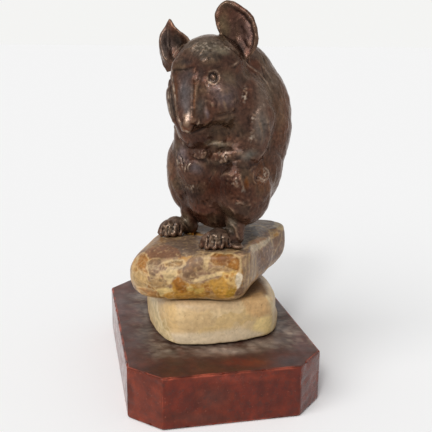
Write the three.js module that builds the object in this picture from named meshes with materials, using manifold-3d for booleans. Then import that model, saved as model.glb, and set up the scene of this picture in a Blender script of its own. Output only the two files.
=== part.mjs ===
// A bronze mouse that sits up on two onyx rocks, on a marble plinth with canted corners.
// Millimetres, +Z up. The origin is the middle of the underside, with a short side facing -Y.

import * as THREE from 'three';
import { LoftGeometry } from 'three/addons/geometries/LoftGeometry.js';
import { mergeVertices } from 'three/addons/utils/BufferGeometryUtils.js';
import Module from 'manifold-3d';

const wasm = await Module();
wasm.setup();

// Fits
const castingGap = 0.3; // between two castings, or a casting and the rock
const pinPlay = 0.2; // round a pin, a tenon or a stud, on the radius
const neckPlay = 0.3; // round the neck spigot, on the radius
const baizePlay = 0.3; // round the baize in its pocket

// Plinth and the baize under it
const plinthWidth = 72;
const plinthDepth = 104.5;
const plinthHeight = 19.8;
const plinthCant = 11;
const plinthArris = 0.5;
const baizeThickness = 1.2;
const baizeProud = 0.2;
const baizeInset = 3;

// Onyx rocks and the mastic that beds them
const lowerRockHeight = 16.5;
const upperRockHeight = 19;
const rockEdge = 1.6; // rounding of a rock's top and bottom edges
const bedThickness = 0.5;
const bedMargin = 1; // from the flat of the rock to the edge of the mastic

// Studs that clamp the figure, the rocks and the plinth together
const studRadius = 1.5;
const studInBronze = 16;
const studBelowNut = 1;
const studFootRoom = 3;
const nutAcrossFlats = 5.5;
const nutHeight = 2.4;
const washerRadius = 3.5;
const washerThickness = 0.6;
const counterborePlay = 1;

// The mouse on the rock, and its head on the neck
const mouseX = -7.9;
const mouseY = -19.5;
const mouseHeading = -52; // degrees, from facing -Y
const headY = 8;
const headZ = 62;
const headTurn = 4; // degrees, to its left
const headTilt = 8; // degrees, left ear up

// The body's masses, each a centre and half sizes: x to its left, y to its back, z up from the rock
const rump = [[0, 24.5, 31.5], [17.5, 18.5, 24]];
const back = [[0, 28.5, 43.5], [18, 20.6, 27.6]];
const neck = [[0, headY + 15, headZ - 1], [11.5, 13, 12]];
const chest = [[0, 16, 45], [13, 10, 15]];
const belly = [[-2.5, 16, 19], [14.5, 10.5, 15.3]];
const ruff = [[12, 16, 50], [6, 9, 13]];
const leftHaunch = [[12, 16, 20], [8, 11.5, 12.5]];
const rightHaunch = [[-16.3, 16.5, 25.5], [9.8, 10, 17.5]];
const leftKnee = [[12.5, 9, 25.5], [6, 5.4, 8]];
const rightKnee = [[-9, 9, 26], [5.8, 5.4, 8]];
const bodySoftness = 4;
const bodySpineEnds = [[0, 20, 16], [0, 25, 54]];

// The head's masses, in its own frame: face to -y, crown to +z
const cranium = [[0, 1, 3.2], [13, 12.5, 12.2]];
const nape = [[0, 9, 3], [11.5, 10, 11]];
const throat = [[-6.3, -1, -15], [8.6, 8, 11]];
const cheek = [[7.8, -3.6, -7.3], [6, 7.6, 10]];
const whiskerPad = [[3.2, -8.6, -12.8], [2.8, 3.8, 5]];
const brow = [[5.5, -8, 4.5], [4.6, 4, 4]];
const noseTip = [[-0.4, -13.6, -16.5], [2.1, 2.3, 2.4]];
const snoutTop = [0, -9.8, 2.2];
const snoutEnd = [0, -12.4, -14.5];
const snoutHalfWidths = [4.9, 1.5];
const snoutHalfDepth = 3.4;
const snoutRounding = 1.1;
const headSoftness = 2;
const headSpineEnds = [[0, -4, -13], [0, 3, 3]];
const eyes = { left: [8.7, -8.6, -0.3], right: [-8.3, -7.2, -0.5] };
const eyeRadius = 1.8;

// Hollow body, neck spigot and the pin across it
const beyond = 60; // for cuts, past any surface of the mouse
const coreCentre = [0, 25, 35];
const coreHalfSizes = [11, 12, 22];
const spigotRadius = 5.5;
const spigotInHead = 5;
const spigotInBody = 12;
const headCoreRadius = 3;
const neckPinRadius = 1;
const neckPinInSpigot = 2;

// Ears: each a leaf that stands on its root. Its rows go up it: height, then its two edges, measured
// to the mouse's right of the root. The right ear's outer side is folded forward along a line
const ears = {
  left: {
    root: [11.6, 6.5, 7.5],
    tip: [11.2, 1.5, 25.6],
    facing: [0.45, -0.9, 0.12],
    rows: [
      [-3.3, 0, 2.8], [-1.4, -2.6, 3.7], [1.5, -5.3, 5.2], [4.8, -6.5, 6.3], [7, -6.6, 6.6],
      [9.4, -6.4, 6.6], [12.3, -5.1, 7.3], [15.9, -2.4, 7.2], [18.2, -0.3, 5.5], [19.6, 0.8, 2.4],
    ],
    dishCentre: [0.6, 7.5],
    dishReach: [7.4, 13],
  },
  right: {
    root: [-10.8, 1.5, 3.5],
    tip: [-12.6, -3.5, 22],
    facing: [-0.1, -0.99, 0.1],
    rows: [
      [1.7, 8.8, 10.5], [3.4, 1.6, 12.2], [5.1, -2, 13], [7.9, -2.5, 13.6], [10.7, -3.1, 13.9],
      [13.8, 0.7, 13.7], [16.4, 4.1, 12.4], [18.7, 5.6, 10.4], [21, 7, 7.3],
    ],
    dishCentre: [4.2, 10.5],
    dishReach: [8, 9],
    fold: [[2, 5.5], [4, 6.5], [7.5, 8.6], [11.4, 9.5], [15.5, 9.3], [20.8, 8.2], [22, 8]],
  },
};
const earDish = 3.3;
const earThickness = 2.2;
const rimThinning = 0.35;
const foldHeight = 2.6;
const foldReach = 4.6; // how far outwards the fold runs out
const foldEnds = [2.5, 7, 13, 20]; // up the ear: where the fold starts, is full, fades and ends
const earTenonRadius = 1.2;
const earTenonDepth = 4;
const earTenonAim = 9; // up the leaf from its root, where the tenon points

// Forelegs: joints of each limb, then the paw
const forelegs = {
  left: {
    shoulder: [14, 17.5, 48],
    elbow: [14.4, 14.6, 37.2],
    wrist: [11, 8.4, 35],
    paw: [8, 6.3, 34.7],
    fingers: [[6.3, 4.2, 35.2], [7.2, 4, 33.4], [9.2, 4.1, 32.6], [11, 4.6, 33]],
  },
  right: {
    shoulder: [-13, 14.5, 47],
    elbow: [-13.2, 10.8, 34],
    wrist: [-5.6, 7.6, 35],
    paw: [-2.1, 6.2, 35.2],
    fingers: [[-3.2, 4.2, 33.5], [-1.4, 4, 33.1], [0.4, 4.1, 33.5], [1.2, 4.6, 34.9]],
  },
};
const limbSoftness = 2;
const shoulderRadius = 7.5;
const elbowRadius = 5.4;
const wristRadius = 2.9;
const pawHalfSizes = [3.1, 2.5, 2.6];
const fingerRadius = 1;
const knuckleInPaw = 0.35; // from the middle of the paw towards the finger's end
const armTenonRadius = 1.6;
const armTenonDepth = 5;
const armTenonShare = 0.7; // down the upper arm

// Hind feet: the ankle, where a stud comes up, the ball of the foot and the ends of its toes
const feet = {
  left: {
    ankle: [10.5, 11.5, 0],
    ball: [7.2, 5.4, 3],
    toes: [[4.2, -0.6], [7, -0.8], [9.2, 0.8], [10.6, 3], [11.6, 5.8]],
  },
  right: {
    ankle: [-13.8, 13, 0],
    ball: [-16.3, 7.6, 3],
    toes: [[-20.2, 2.2], [-18, 0.9], [-15.8, 1.6], [-14, 3.4], [-12.9, 6]],
  },
};
const shankHeight = 12;
const shankRadii = [3, 4.2]; // at the ankle and up in the haunch
const footRadius = 3.2;
const ballHalfSizes = [4.3, 4.3, 3.4];
const toeRadius = 1.2;
const knuckleShare = 0.46; // from the toe's end back to the ball
const knuckleHeight = 4.3;

// Tail, from the rump round behind the right haunch
const tailRootRadius = 2.3;
const tailTipRadius = 0.9;
const tailRoute = [
  [0, 31, 13], [-1, 38, 8.5], [-4, 40.8, 5.2], [-9, 40, 3.2],
  [-14, 35, 2.6], [-18.5, 28.5, 2.1], [-21.5, 21.5, 1.5],
];
const tailTenonRadius = 1.2;
const tailTenonDepth = 5;

// Outlines of the rocks from above, anticlockwise: at the foot, halfway up and at the top
const lowerRockOutlines = [
  [
    [-21, 10], [-21.8, -5], [-19.8, -17.5], [-16.8, -26], [-10, -28.6], [1.6, -29.3], [14.4, -27],
    [21.2, -23], [25.5, -16], [30, -3.5], [30, 12], [20, 24], [0, 29], [-18, 26],
  ],
  [
    [-22.5, 9], [-23, -5], [-21, -18], [-17.5, -26.5], [-10.5, -29.5], [1.6, -30], [14.6, -28],
    [22, -25], [26, -16], [29, -4], [28.5, 12], [19, 24.5], [0, 29.5], [-19, 26],
  ],
  [
    [-20, 8], [-21, -6], [-19.5, -17], [-16, -25], [-9, -27.5], [2, -28.5], [14, -27],
    [20, -25], [22, -18], [22, -8], [21, 8], [14, 20], [0, 25], [-16, 22],
  ],
];
const upperRockOutlines = [
  [
    [-30, -9], [-28, -18], [-20, -24.5], [-8, -26], [4, -30], [9, -27], [14, -17],
    [24, -1], [28, 8], [20, 14], [0, 14], [-18, 8], [-27, 0],
  ],
  [
    [-32, -15], [-30, -21], [-22, -27], [-8, -31], [7, -34], [10, -32], [17, -22],
    [30, -3], [35.8, 8], [28, 16], [0, 17], [-19, 9], [-28, -4],
  ],
  [
    [-22, -13], [-19.5, -17], [-15, -21], [-7, -28.5], [5, -33], [9.5, -33.5], [15, -22],
    [26, -4], [35, 6], [28, 16.5], [2, 17], [-14, 8], [-20.5, -7],
  ],
];

// How finely the forms are faceted
const stoneFacets = 40;
const stoneLevels = [0, 0.04, 0.12, 0.3, 0.5, 0.7, 0.88, 0.96, 1];
const bodyFacets = [26, 32];
const headFacets = [24, 34];
const armFacets = [14, 16];
const pawFacets = [12, 8];
const footFacets = [14, 16];
const earFacets = 12;
const tailFacets = [20, 10];

// Heights that follow from the sizes above
const plinthTop = baizeProud + plinthHeight;
const lowerRockBase = plinthTop + bedThickness;
const lowerRockTop = lowerRockBase + lowerRockHeight;
const upperRockBase = lowerRockTop + bedThickness;
const upperRockTop = upperRockBase + upperRockHeight;
const washerTop = baizeThickness + studFootRoom + studBelowNut + nutHeight + washerThickness;

// Finishes
const darkBronze = { color: 0x4a3028, roughness: 0.42, metalness: 0.85 };
const wornBronze = { color: 0x5b3a2a, roughness: 0.38, metalness: 0.85 };
const redMarble = { color: 0x6e3028, roughness: 0.35, metalness: 0 };
const paleOnyx = { color: 0xd2bf9f, roughness: 0.4, metalness: 0 };
const goldenOnyx = { color: 0xa8814c, roughness: 0.4, metalness: 0 };
const mastic = { color: 0x5a4a3c, roughness: 0.9, metalness: 0 };
const baize = { color: 0x23402e, roughness: 1, metalness: 0 };
const brass = { color: 0xb08d4a, roughness: 0.35, metalness: 0.9 };
const steel = { color: 0x8d8f91, roughness: 0.4, metalness: 0.9 };

const sides = ['left', 'right'];
const point = (x, y, z) => new THREE.Vector3(x, y, z);
const { degToRad, lerp, clamp, smoothstep } = THREE.MathUtils;

// Closed geometries as solids that can be joined and cut, and back again

function solid(geometry) {
  const bare = new THREE.BufferGeometry();
  bare.setAttribute('position', geometry.attributes.position);
  bare.setIndex(geometry.index);
  const welded = mergeVertices(bare, 1e-4);
  return new wasm.Manifold(new wasm.Mesh({
    numProp: 3,
    vertProperties: new Float32Array(welded.attributes.position.array),
    triVerts: new Uint32Array(welded.index.array),
  }));
}

function geometryOf(body) {
  const { vertProperties, triVerts } = body.getMesh();
  const geometry = new THREE.BufferGeometry();
  geometry.setAttribute('position', new THREE.BufferAttribute(vertProperties, 3));
  geometry.setIndex(new THREE.BufferAttribute(triVerts, 1));
  geometry.computeVertexNormals();
  return geometry;
}

function piece(name, body, finish) {
  const mesh = new THREE.Mesh(geometryOf(body), new THREE.MeshStandardMaterial(finish));
  mesh.name = name;
  return mesh;
}

// Rods, pins and capsules between two points

function between(geometry, from, to) {
  const along = to.clone().sub(from).normalize();
  const turn = new THREE.Quaternion().setFromUnitVectors(point(0, 1, 0), along);
  const middle = from.clone().lerp(to, 0.5);
  return solid(geometry.applyQuaternion(turn).translate(middle.x, middle.y, middle.z));
}

function rod(radius, from, to, facets = 24) {
  return between(new THREE.CylinderGeometry(radius, radius, from.distanceTo(to), facets), from, to);
}

function uprightRod(radius, at, bottom, top, facets = 24) {
  return rod(radius, point(at.x, at.y, bottom), point(at.x, at.y, top), facets);
}

function capsule(radius, from, to) {
  return between(new THREE.CapsuleGeometry(radius, from.distanceTo(to), 2, 8), from, to);
}

// Modelled forms, each a distance from a point in space: negative inside, positive outside

function mass(centre, halfSizes) {
  return (p) => {
    const offset = [p.x - centre[0], p.y - centre[1], p.z - centre[2]];
    const reach = Math.hypot(...offset.map((d, i) => d / halfSizes[i]));
    const slope = Math.hypot(...offset.map((d, i) => d / halfSizes[i] ** 2));
    return slope > 0 ? reach * (reach - 1) / slope : -Math.min(...halfSizes);
  };
}

function massPair([x, y, z], halfSizes) {
  return [mass([x, y, z], halfSizes), mass([-x, y, z], halfSizes)];
}

function limb(from, to, fromRadius, toRadius) {
  const along = to.clone().sub(from);
  return (p) => {
    const offset = p.clone().sub(from);
    const share = clamp(offset.dot(along) / along.lengthSq(), 0, 1);
    return offset.addScaledVector(along, -share).length() - lerp(fromRadius, toRadius, share);
  };
}

// A bar with rounded corners, flat in front, that narrows from one end to the other
function bar(from, to, halfWidths, halfDepth, rounding) {
  const along = to.clone().sub(from);
  const across = point(1, 0, 0);
  const through = along.clone().cross(across).normalize();
  return (p) => {
    const rest = p.clone().sub(from);
    const share = clamp(rest.dot(along) / along.lengthSq(), 0, 1);
    rest.addScaledVector(along, -share);
    const side = Math.max(Math.abs(rest.dot(across)) - lerp(...halfWidths, share), 0);
    const depth = Math.max(Math.abs(rest.dot(through)) - halfDepth + rounding, 0);
    return Math.hypot(side, depth, rest.dot(along) / along.length()) - rounding;
  };
}

function blend(forms, softness) {
  return (p) => forms.reduce((nearest, form) => {
    const distance = form(p);
    const overlap = Math.max(softness - Math.abs(nearest - distance), 0) / softness;
    return Math.min(nearest, distance) - overlap * overlap * softness / 4;
  }, Infinity);
}

// Where a ray, followed inwards from far off, first meets a form
function meet(form, origin, ray) {
  let far = 60;
  let distance = form(origin.clone().addScaledVector(ray, far));
  while (distance > 0.005 && far > 0.5) {
    far -= Math.max(distance * 0.7, 0.01);
    distance = form(origin.clone().addScaledVector(ray, far));
  }
  return origin.clone().addScaledVector(ray, far);
}

// The skin of a form: rays fan out, pole to pole, from a spine inside it
function skin(form, [from, to], [rows, columns], grow = 0) {
  const grown = (p) => form(p) - grow;
  const axis = to.clone().sub(from).normalize();
  const guide = Math.abs(axis.x) > 0.8 ? point(0, 1, 0) : point(1, 0, 0);
  const across = guide.clone().addScaledVector(axis, -axis.dot(guide)).normalize();
  const third = axis.clone().cross(across);
  const sections = [];
  for (let row = 0; row < rows; row++) {
    const rise = (row + 0.5) / rows * Math.PI;
    const origin = from.clone().lerp(to, (1 - Math.cos(rise)) / 2);
    const section = [];
    for (let column = 0; column < columns; column++) {
      const around = column / columns * 2 * Math.PI;
      const ray = across.clone().multiplyScalar(Math.cos(around)).addScaledVector(third, Math.sin(around));
      ray.multiplyScalar(Math.sin(rise)).addScaledVector(axis, -Math.cos(rise));
      section.push(meet(grown, origin, ray));
    }
    sections.push(section);
  }
  return solid(new LoftGeometry(sections, { capStart: true, capEnd: true }));
}

// Flat stock and stones: outlines from above, lofted upwards

function ring(outline, facets) {
  const curve = new THREE.CatmullRomCurve3(outline.map(([x, y]) => point(x, y, 0)), true, 'centripetal');
  return curve.getSpacedPoints(facets).slice(0, facets);
}

function drawnIn(outline, inset) {
  const middle = [0, 1].map((i) => outline.reduce((sum, p) => sum + p[i], 0) / outline.length);
  return outline.map(([x, y]) => {
    const share = 1 - inset / Math.hypot(x - middle[0], y - middle[1]);
    return [lerp(middle[0], x, share), lerp(middle[1], y, share)];
  });
}

function plate(outline, bottom, thickness) {
  const sections = [bottom, bottom + thickness]
    .map((z) => ring(outline, stoneFacets).map((p) => p.setZ(z)));
  return solid(new LoftGeometry(sections, { capStart: true, capEnd: true }));
}

function stone([foot, waist, crown], bottom, height) {
  const sections = stoneLevels.map((level) => {
    const end = level < 0.5 ? foot : crown;
    const share = (2 * level - 1) ** 2;
    const outline = waist.map(([x, y], i) => [lerp(x, end[i][0], share), lerp(y, end[i][1], share)]);
    const fromEdge = Math.min(Math.min(level, 1 - level) * height / rockEdge, 1);
    const inset = rockEdge * (1 - Math.sqrt(1 - (1 - fromEdge) ** 2));
    return ring(drawnIn(outline, inset), stoneFacets).map((p) => p.setZ(bottom + level * height));
  });
  return solid(new LoftGeometry(sections, { capStart: true, capEnd: true }));
}

function cantedSlab(width, depth, cant, bottom, height, arris) {
  const x = width / 2 - arris;
  const y = depth / 2 - arris;
  const c = cant - arris * (2 - Math.SQRT2);
  const corners = [
    [x, c - y], [x, y - c], [x - c, y], [c - x, y], [-x, y - c], [-x, c - y], [c - x, -y], [x - c, -y],
  ];
  const geometry = new THREE.ExtrudeGeometry(new THREE.Shape(corners.map((p) => new THREE.Vector2(...p))), {
    depth: height - 2 * arris,
    bevelEnabled: arris > 0,
    bevelSize: arris,
    bevelThickness: arris,
    bevelSegments: 1,
  });
  return solid(geometry.translate(0, 0, bottom + arris));
}

// Plinth, rocks and studs

const heading = degToRad(mouseHeading);
const studAt = (name) => point(...feet[name].ankle)
  .applyAxisAngle(point(0, 0, 1), heading)
  .add(point(mouseX, mouseY, 0));

function drilled(body, radius, bottom, top) {
  return sides.reduce((cut, name) => cut.subtract(uprightRod(radius, studAt(name), bottom, top)), body);
}

function makePlinth() {
  const width = plinthWidth - 2 * baizeInset;
  const depth = plinthDepth - 2 * baizeInset;
  const pad = cantedSlab(width, depth, plinthCant, 0, baizeThickness, 0);
  const pocket = cantedSlab(width + 2 * baizePlay, depth + 2 * baizePlay, plinthCant, 0, baizeThickness, 0);
  const slab = cantedSlab(plinthWidth, plinthDepth, plinthCant, baizeProud, plinthHeight, plinthArris);
  const counterbored = drilled(slab.subtract(pocket), washerRadius + counterborePlay, 0, washerTop);
  return [
    piece('plinth', drilled(counterbored, studRadius + pinPlay, 0, plinthTop + 1), redMarble),
    piece('baize_pad', pad, baize),
  ];
}

function makeRocks() {
  const lowerRock = stone(lowerRockOutlines, lowerRockBase, lowerRockHeight);
  const upperRock = stone(upperRockOutlines, upperRockBase, upperRockHeight);
  const bedInset = rockEdge + bedMargin;
  const lowerBed = plate(drawnIn(lowerRockOutlines[0], bedInset), plinthTop, bedThickness);
  const upperBed = plate(drawnIn(lowerRockOutlines[2], bedInset), lowerRockTop, bedThickness)
    .intersect(plate(drawnIn(upperRockOutlines[0], bedInset), lowerRockTop, bedThickness));
  const parts = [
    ['lower_mastic_bed', lowerBed, mastic],
    ['lower_rock', lowerRock, paleOnyx],
    ['upper_mastic_bed', upperBed, mastic],
    ['upper_rock', upperRock, goldenOnyx],
  ];
  return parts.map(([name, body, finish]) => (
    piece(name, drilled(body, studRadius + pinPlay, 0, upperRockTop + 1), finish)
  ));
}

function makeStud(name) {
  const at = studAt(name);
  const nutTop = washerTop - washerThickness;
  const nutBottom = nutTop - nutHeight;
  const bore = uprightRod(studRadius + pinPlay, at, 0, washerTop + 1);
  const stud = uprightRod(studRadius, at, nutBottom - studBelowNut, upperRockTop + studInBronze);
  const washer = uprightRod(washerRadius, at, nutTop, washerTop).subtract(bore);
  const nut = uprightRod(nutAcrossFlats / Math.sqrt(3), at, nutBottom, nutTop, 6).subtract(bore);
  return [
    piece(`${name}_stud`, stud, brass),
    piece(`${name}_stud_washer`, washer, steel),
    piece(`${name}_stud_nut`, nut, steel),
  ];
}

// Forms of the body and the head

const bodyForm = blend([
  mass(...rump),
  mass(...back),
  mass(...neck),
  mass(...chest),
  mass(...belly),
  ...massPair(...ruff),
  ...[leftHaunch, rightHaunch, leftKnee, rightKnee].map((form) => mass(...form)),
], bodySoftness);

const headForm = blend([
  mass(...cranium),
  mass(...nape),
  mass(...throat),
  ...massPair(...cheek),
  ...massPair(...whiskerPad),
  ...massPair(...brow),
  mass(...noseTip),
  bar(point(...snoutTop), point(...snoutEnd), snoutHalfWidths, snoutHalfDepth, snoutRounding),
], headSoftness);

const bodySpine = bodySpineEnds.map((end) => point(...end));
const headSpine = headSpineEnds.map((end) => point(...end));
const bodySkin = (grow) => skin(bodyForm, bodySpine, bodyFacets, grow);

const headPlace = new THREE.Matrix4().makeRotationZ(degToRad(headTurn))
  .multiply(new THREE.Matrix4().makeRotationY(-degToRad(headTilt)))
  .setPosition(0, headY, headZ);
const fromHead = (x, y, z) => point(x, y, z).applyMatrix4(headPlace);
const headFormInPlace = (p) => headForm(p.clone().applyMatrix4(headPlace.clone().invert()));

function headSkin(grow) {
  const geometry = geometryOf(skin(headForm, headSpine, headFacets, grow));
  return solid(geometry.applyMatrix4(headPlace));
}

const grownBody = bodySkin(castingGap);
const grownHead = headSkin(castingGap);
const rockSide = solid(new THREE.BoxGeometry(2 * beyond, 2 * beyond, beyond)
  .translate(0, 0, castingGap - beyond / 2));

// Neck: the head's spigot runs down into the hollow body, with a pin across it
const neckAxis = point(...coreCentre).sub(fromHead(0, 0, 0)).normalize();
const neckAt = meet(bodyForm, point(...coreCentre), neckAxis.clone().negate());
const alongNeck = (distance) => neckAt.clone().addScaledVector(neckAxis, distance);
const neckPinAt = alongNeck(spigotInBody / 2);
const acrossNeck = (x) => neckPinAt.clone().setX(x);

// How far the leaf of an ear stands forward of its plane: hollow in the middle, raised along a fold
function earRelief({ dishCentre, dishReach, fold }, x, y) {
  const away = Math.hypot((x - dishCentre[0]) / dishReach[0], (y - dishCentre[1]) / dishReach[1]);
  const hollow = -earDish * (1 - smoothstep(away, 0, 1));
  if (!fold) return hollow;
  const next = Math.min(Math.max(fold.findIndex(([height]) => height > y), 1), fold.length - 1);
  const [[lowY, lowX], [highY, highX]] = fold.slice(next - 1, next + 1);
  const over = x - lerp(lowX, highX, clamp((y - lowY) / (highY - lowY), 0, 1));
  const upright = smoothstep(y, foldEnds[0], foldEnds[1]) * (1 - smoothstep(y, foldEnds[2], foldEnds[3]));
  const wall = foldHeight * (1 - smoothstep(over, 0, foldReach)) * upright;
  return lerp(hollow, wall, smoothstep(over, -1, 0));
}

// A place on an ear's leaf, in the mouse's frame
function onLeaf(name, x, y, proud) {
  const { root, tip, facing } = ears[name];
  const start = point(...root);
  const front = point(...facing).normalize();
  const upward = point(...tip).sub(start);
  upward.addScaledVector(front, -upward.dot(front)).normalize();
  const place = start.clone()
    .addScaledVector(front.clone().cross(upward), x)
    .addScaledVector(upward, y)
    .addScaledVector(front, earRelief(ears[name], x, y) + proud);
  return fromHead(place.x, place.y, place.z);
}

// Tenons: a peg on one casting that enters a socket in the next. Play widens and deepens the socket

function tenon(seat, inward, radius, depth, play) {
  const outer = seat.clone().addScaledVector(inward, -castingGap - 1);
  return rod(radius + play, outer, seat.clone().addScaledVector(inward, depth + play), 16);
}

function earTenon(name, play) {
  const root = fromHead(...ears[name].root);
  const upward = onLeaf(name, 0, earTenonAim, 0).sub(root).normalize();
  const seat = meet(headFormInPlace, root, upward);
  return tenon(seat, upward.negate(), earTenonRadius, earTenonDepth, play);
}

function armTenon(name, play) {
  const { shoulder, elbow } = forelegs[name];
  const onArm = point(...shoulder).lerp(point(...elbow), armTenonShare);
  const inBody = point(0, coreCentre[1], onArm.z);
  const outward = onArm.sub(inBody).normalize();
  const seat = meet(bodyForm, inBody, outward);
  return tenon(seat, outward.negate(), armTenonRadius, armTenonDepth, play);
}

function tailTenon(play) {
  const [root, next] = tailRoute.map((p) => point(...p));
  const outward = next.clone().sub(root).normalize();
  const seat = meet(bodyForm, root, outward);
  return tenon(seat, outward.negate(), tailTenonRadius, tailTenonDepth, play);
}

// The castings

function makeBody() {
  const core = solid(new THREE.SphereGeometry(1, 16, 12).scale(...coreHalfSizes).translate(...coreCentre));
  let body = bodySkin(0)
    .subtract(core)
    .subtract(rod(spigotRadius + neckPlay, alongNeck(-spigotInHead), alongNeck(spigotInBody + castingGap)))
    .subtract(rod(neckPinRadius + pinPlay, acrossNeck(0), acrossNeck(-beyond), 16))
    .subtract(tailTenon(pinPlay))
    .subtract(rockSide);
  for (const name of sides) {
    const ankle = point(...feet[name].ankle);
    const studHole = uprightRod(studRadius + pinPlay, ankle, -1, studInBronze + pinPlay);
    body = body.subtract(armTenon(name, pinPlay)).subtract(studHole);
  }
  return body;
}

function makeHead() {
  const spigot = rod(spigotRadius, alongNeck(-spigotInHead), alongNeck(spigotInBody));
  const core = rod(headCoreRadius, alongNeck(1 - spigotInHead), alongNeck(spigotInBody + 1), 16);
  const pinStart = acrossNeck(pinPlay - neckPinInSpigot);
  const pinHole = rod(neckPinRadius + pinPlay, pinStart, acrossNeck(-beyond), 16);
  let head = headSkin(0).subtract(grownBody).add(spigot).subtract(core).subtract(pinHole);
  for (const name of sides) {
    const ball = new THREE.IcosahedronGeometry(eyeRadius, 2).translate(...fromHead(...eyes[name]));
    head = head.add(solid(ball)).subtract(earTenon(name, pinPlay));
  }
  return head;
}

function makeNeckPin() {
  return rod(neckPinRadius, acrossNeck(-neckPinInSpigot), acrossNeck(-beyond), 16)
    .intersect(bodySkin(-castingGap));
}

function makeEar(name) {
  const sections = ears[name].rows.map(([y, right, left]) => {
    const section = [];
    for (let i = 0; i < 2 * earFacets; i++) {
      const onFront = i >= earFacets;
      const share = onFront ? 2 - i / earFacets : i / earFacets;
      const thickness = earThickness * (1 - rimThinning * (2 * share - 1) ** 2);
      section.push(onLeaf(name, lerp(right, left, share), y, (onFront ? 0.5 : -0.5) * thickness));
    }
    return section;
  });
  return solid(new LoftGeometry(sections, { capStart: true, capEnd: true }))
    .subtract(grownHead)
    .subtract(grownBody)
    .add(earTenon(name, 0));
}

// One foreleg: upper arm against the flank, forearm on the chest, four fingers hanging from the paw
function makeForeleg(name) {
  const [shoulder, elbow, wrist, paw] = ['shoulder', 'elbow', 'wrist', 'paw']
    .map((joint) => point(...forelegs[name][joint]));
  const form = blend([
    limb(shoulder, elbow, shoulderRadius, elbowRadius),
    limb(elbow, wrist, elbowRadius, wristRadius),
  ], limbSoftness);
  const spine = [shoulder.clone().lerp(elbow, 0.4), elbow.clone().lerp(wrist, 0.5)];
  const arm = skin(form, spine, armFacets);
  const palm = solid(new THREE.SphereGeometry(1, ...pawFacets).scale(...pawHalfSizes).translate(...paw));
  const fingers = forelegs[name].fingers.map((end) => {
    const tip = point(...end);
    return capsule(fingerRadius, paw.clone().lerp(tip, knuckleInPaw), tip);
  });
  return fingers.reduce((whole, finger) => whole.add(finger), arm.add(palm))
    .subtract(grownBody)
    .subtract(grownHead)
    .add(armTenon(name, 0));
}

// One hind foot: shank up into the haunch, flat sole on the rock, five toes, and a hole for its stud
function makeHindFoot(name) {
  const ground = point(...feet[name].ankle);
  const studHole = uprightRod(studRadius + pinPlay, ground, -1, beyond);
  const ankle = ground.clone().setZ(footRadius);
  const ball = point(...feet[name].ball);
  const form = blend([
    limb(ankle, ankle.clone().setZ(shankHeight), ...shankRadii),
    limb(ankle, ball, footRadius, footRadius),
    mass(feet[name].ball, ballHalfSizes),
  ], limbSoftness);
  const foot = skin(form, [ankle.clone().lerp(ball, 0.75), ankle.clone().setZ(shankHeight / 2)], footFacets);
  const toes = feet[name].toes.map((end) => {
    const tip = point(...end, toeRadius);
    return capsule(toeRadius, tip.clone().lerp(ball, knuckleShare).setZ(knuckleHeight), tip);
  });
  return toes.reduce((whole, toe) => whole.add(toe), foot)
    .subtract(rockSide)
    .subtract(grownBody)
    .subtract(studHole);
}

function makeTail() {
  const curve = new THREE.CatmullRomCurve3(tailRoute.map((p) => point(...p)));
  const [steps, columns] = tailFacets;
  const frames = curve.computeFrenetFrames(steps, false);
  const sections = [];
  for (let step = 0; step <= steps; step++) {
    const centre = curve.getPointAt(step / steps);
    const radius = lerp(tailRootRadius, tailTipRadius, step / steps);
    sections.push(Array.from({ length: columns }, (_, column) => {
      const around = column / columns * 2 * Math.PI;
      return centre.clone()
        .addScaledVector(frames.normals[step], radius * Math.cos(around))
        .addScaledVector(frames.binormals[step], radius * Math.sin(around));
    }));
  }
  return solid(new LoftGeometry(sections, { capStart: true, capEnd: true }))
    .subtract(grownBody)
    .subtract(rockSide)
    .add(tailTenon(0));
}

// Assembly

const figurine = new THREE.Group();
const mouse = new THREE.Group();
mouse.position.set(mouseX, mouseY, upperRockTop);
mouse.rotation.z = heading;
figurine.add(...makePlinth(), ...makeRocks(), mouse);
mouse.add(piece('mouse_body', makeBody(), wornBronze));
mouse.add(piece('mouse_head', makeHead(), darkBronze));
mouse.add(piece('neck_pin', makeNeckPin(), darkBronze));
mouse.add(piece('tail', makeTail(), darkBronze));
for (const name of sides) {
  figurine.add(...makeStud(name));
  mouse.add(piece(`${name}_ear`, makeEar(name), darkBronze));
  mouse.add(piece(`${name}_foreleg`, makeForeleg(name), darkBronze));
  mouse.add(piece(`${name}_hind_foot`, makeHindFoot(name), darkBronze));
}

export default figurine;
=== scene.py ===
import math

import bmesh
import bpy
import numpy as np
from mathutils import Matrix, Vector, noise
from mathutils.bvhtree import BVHTree


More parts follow.
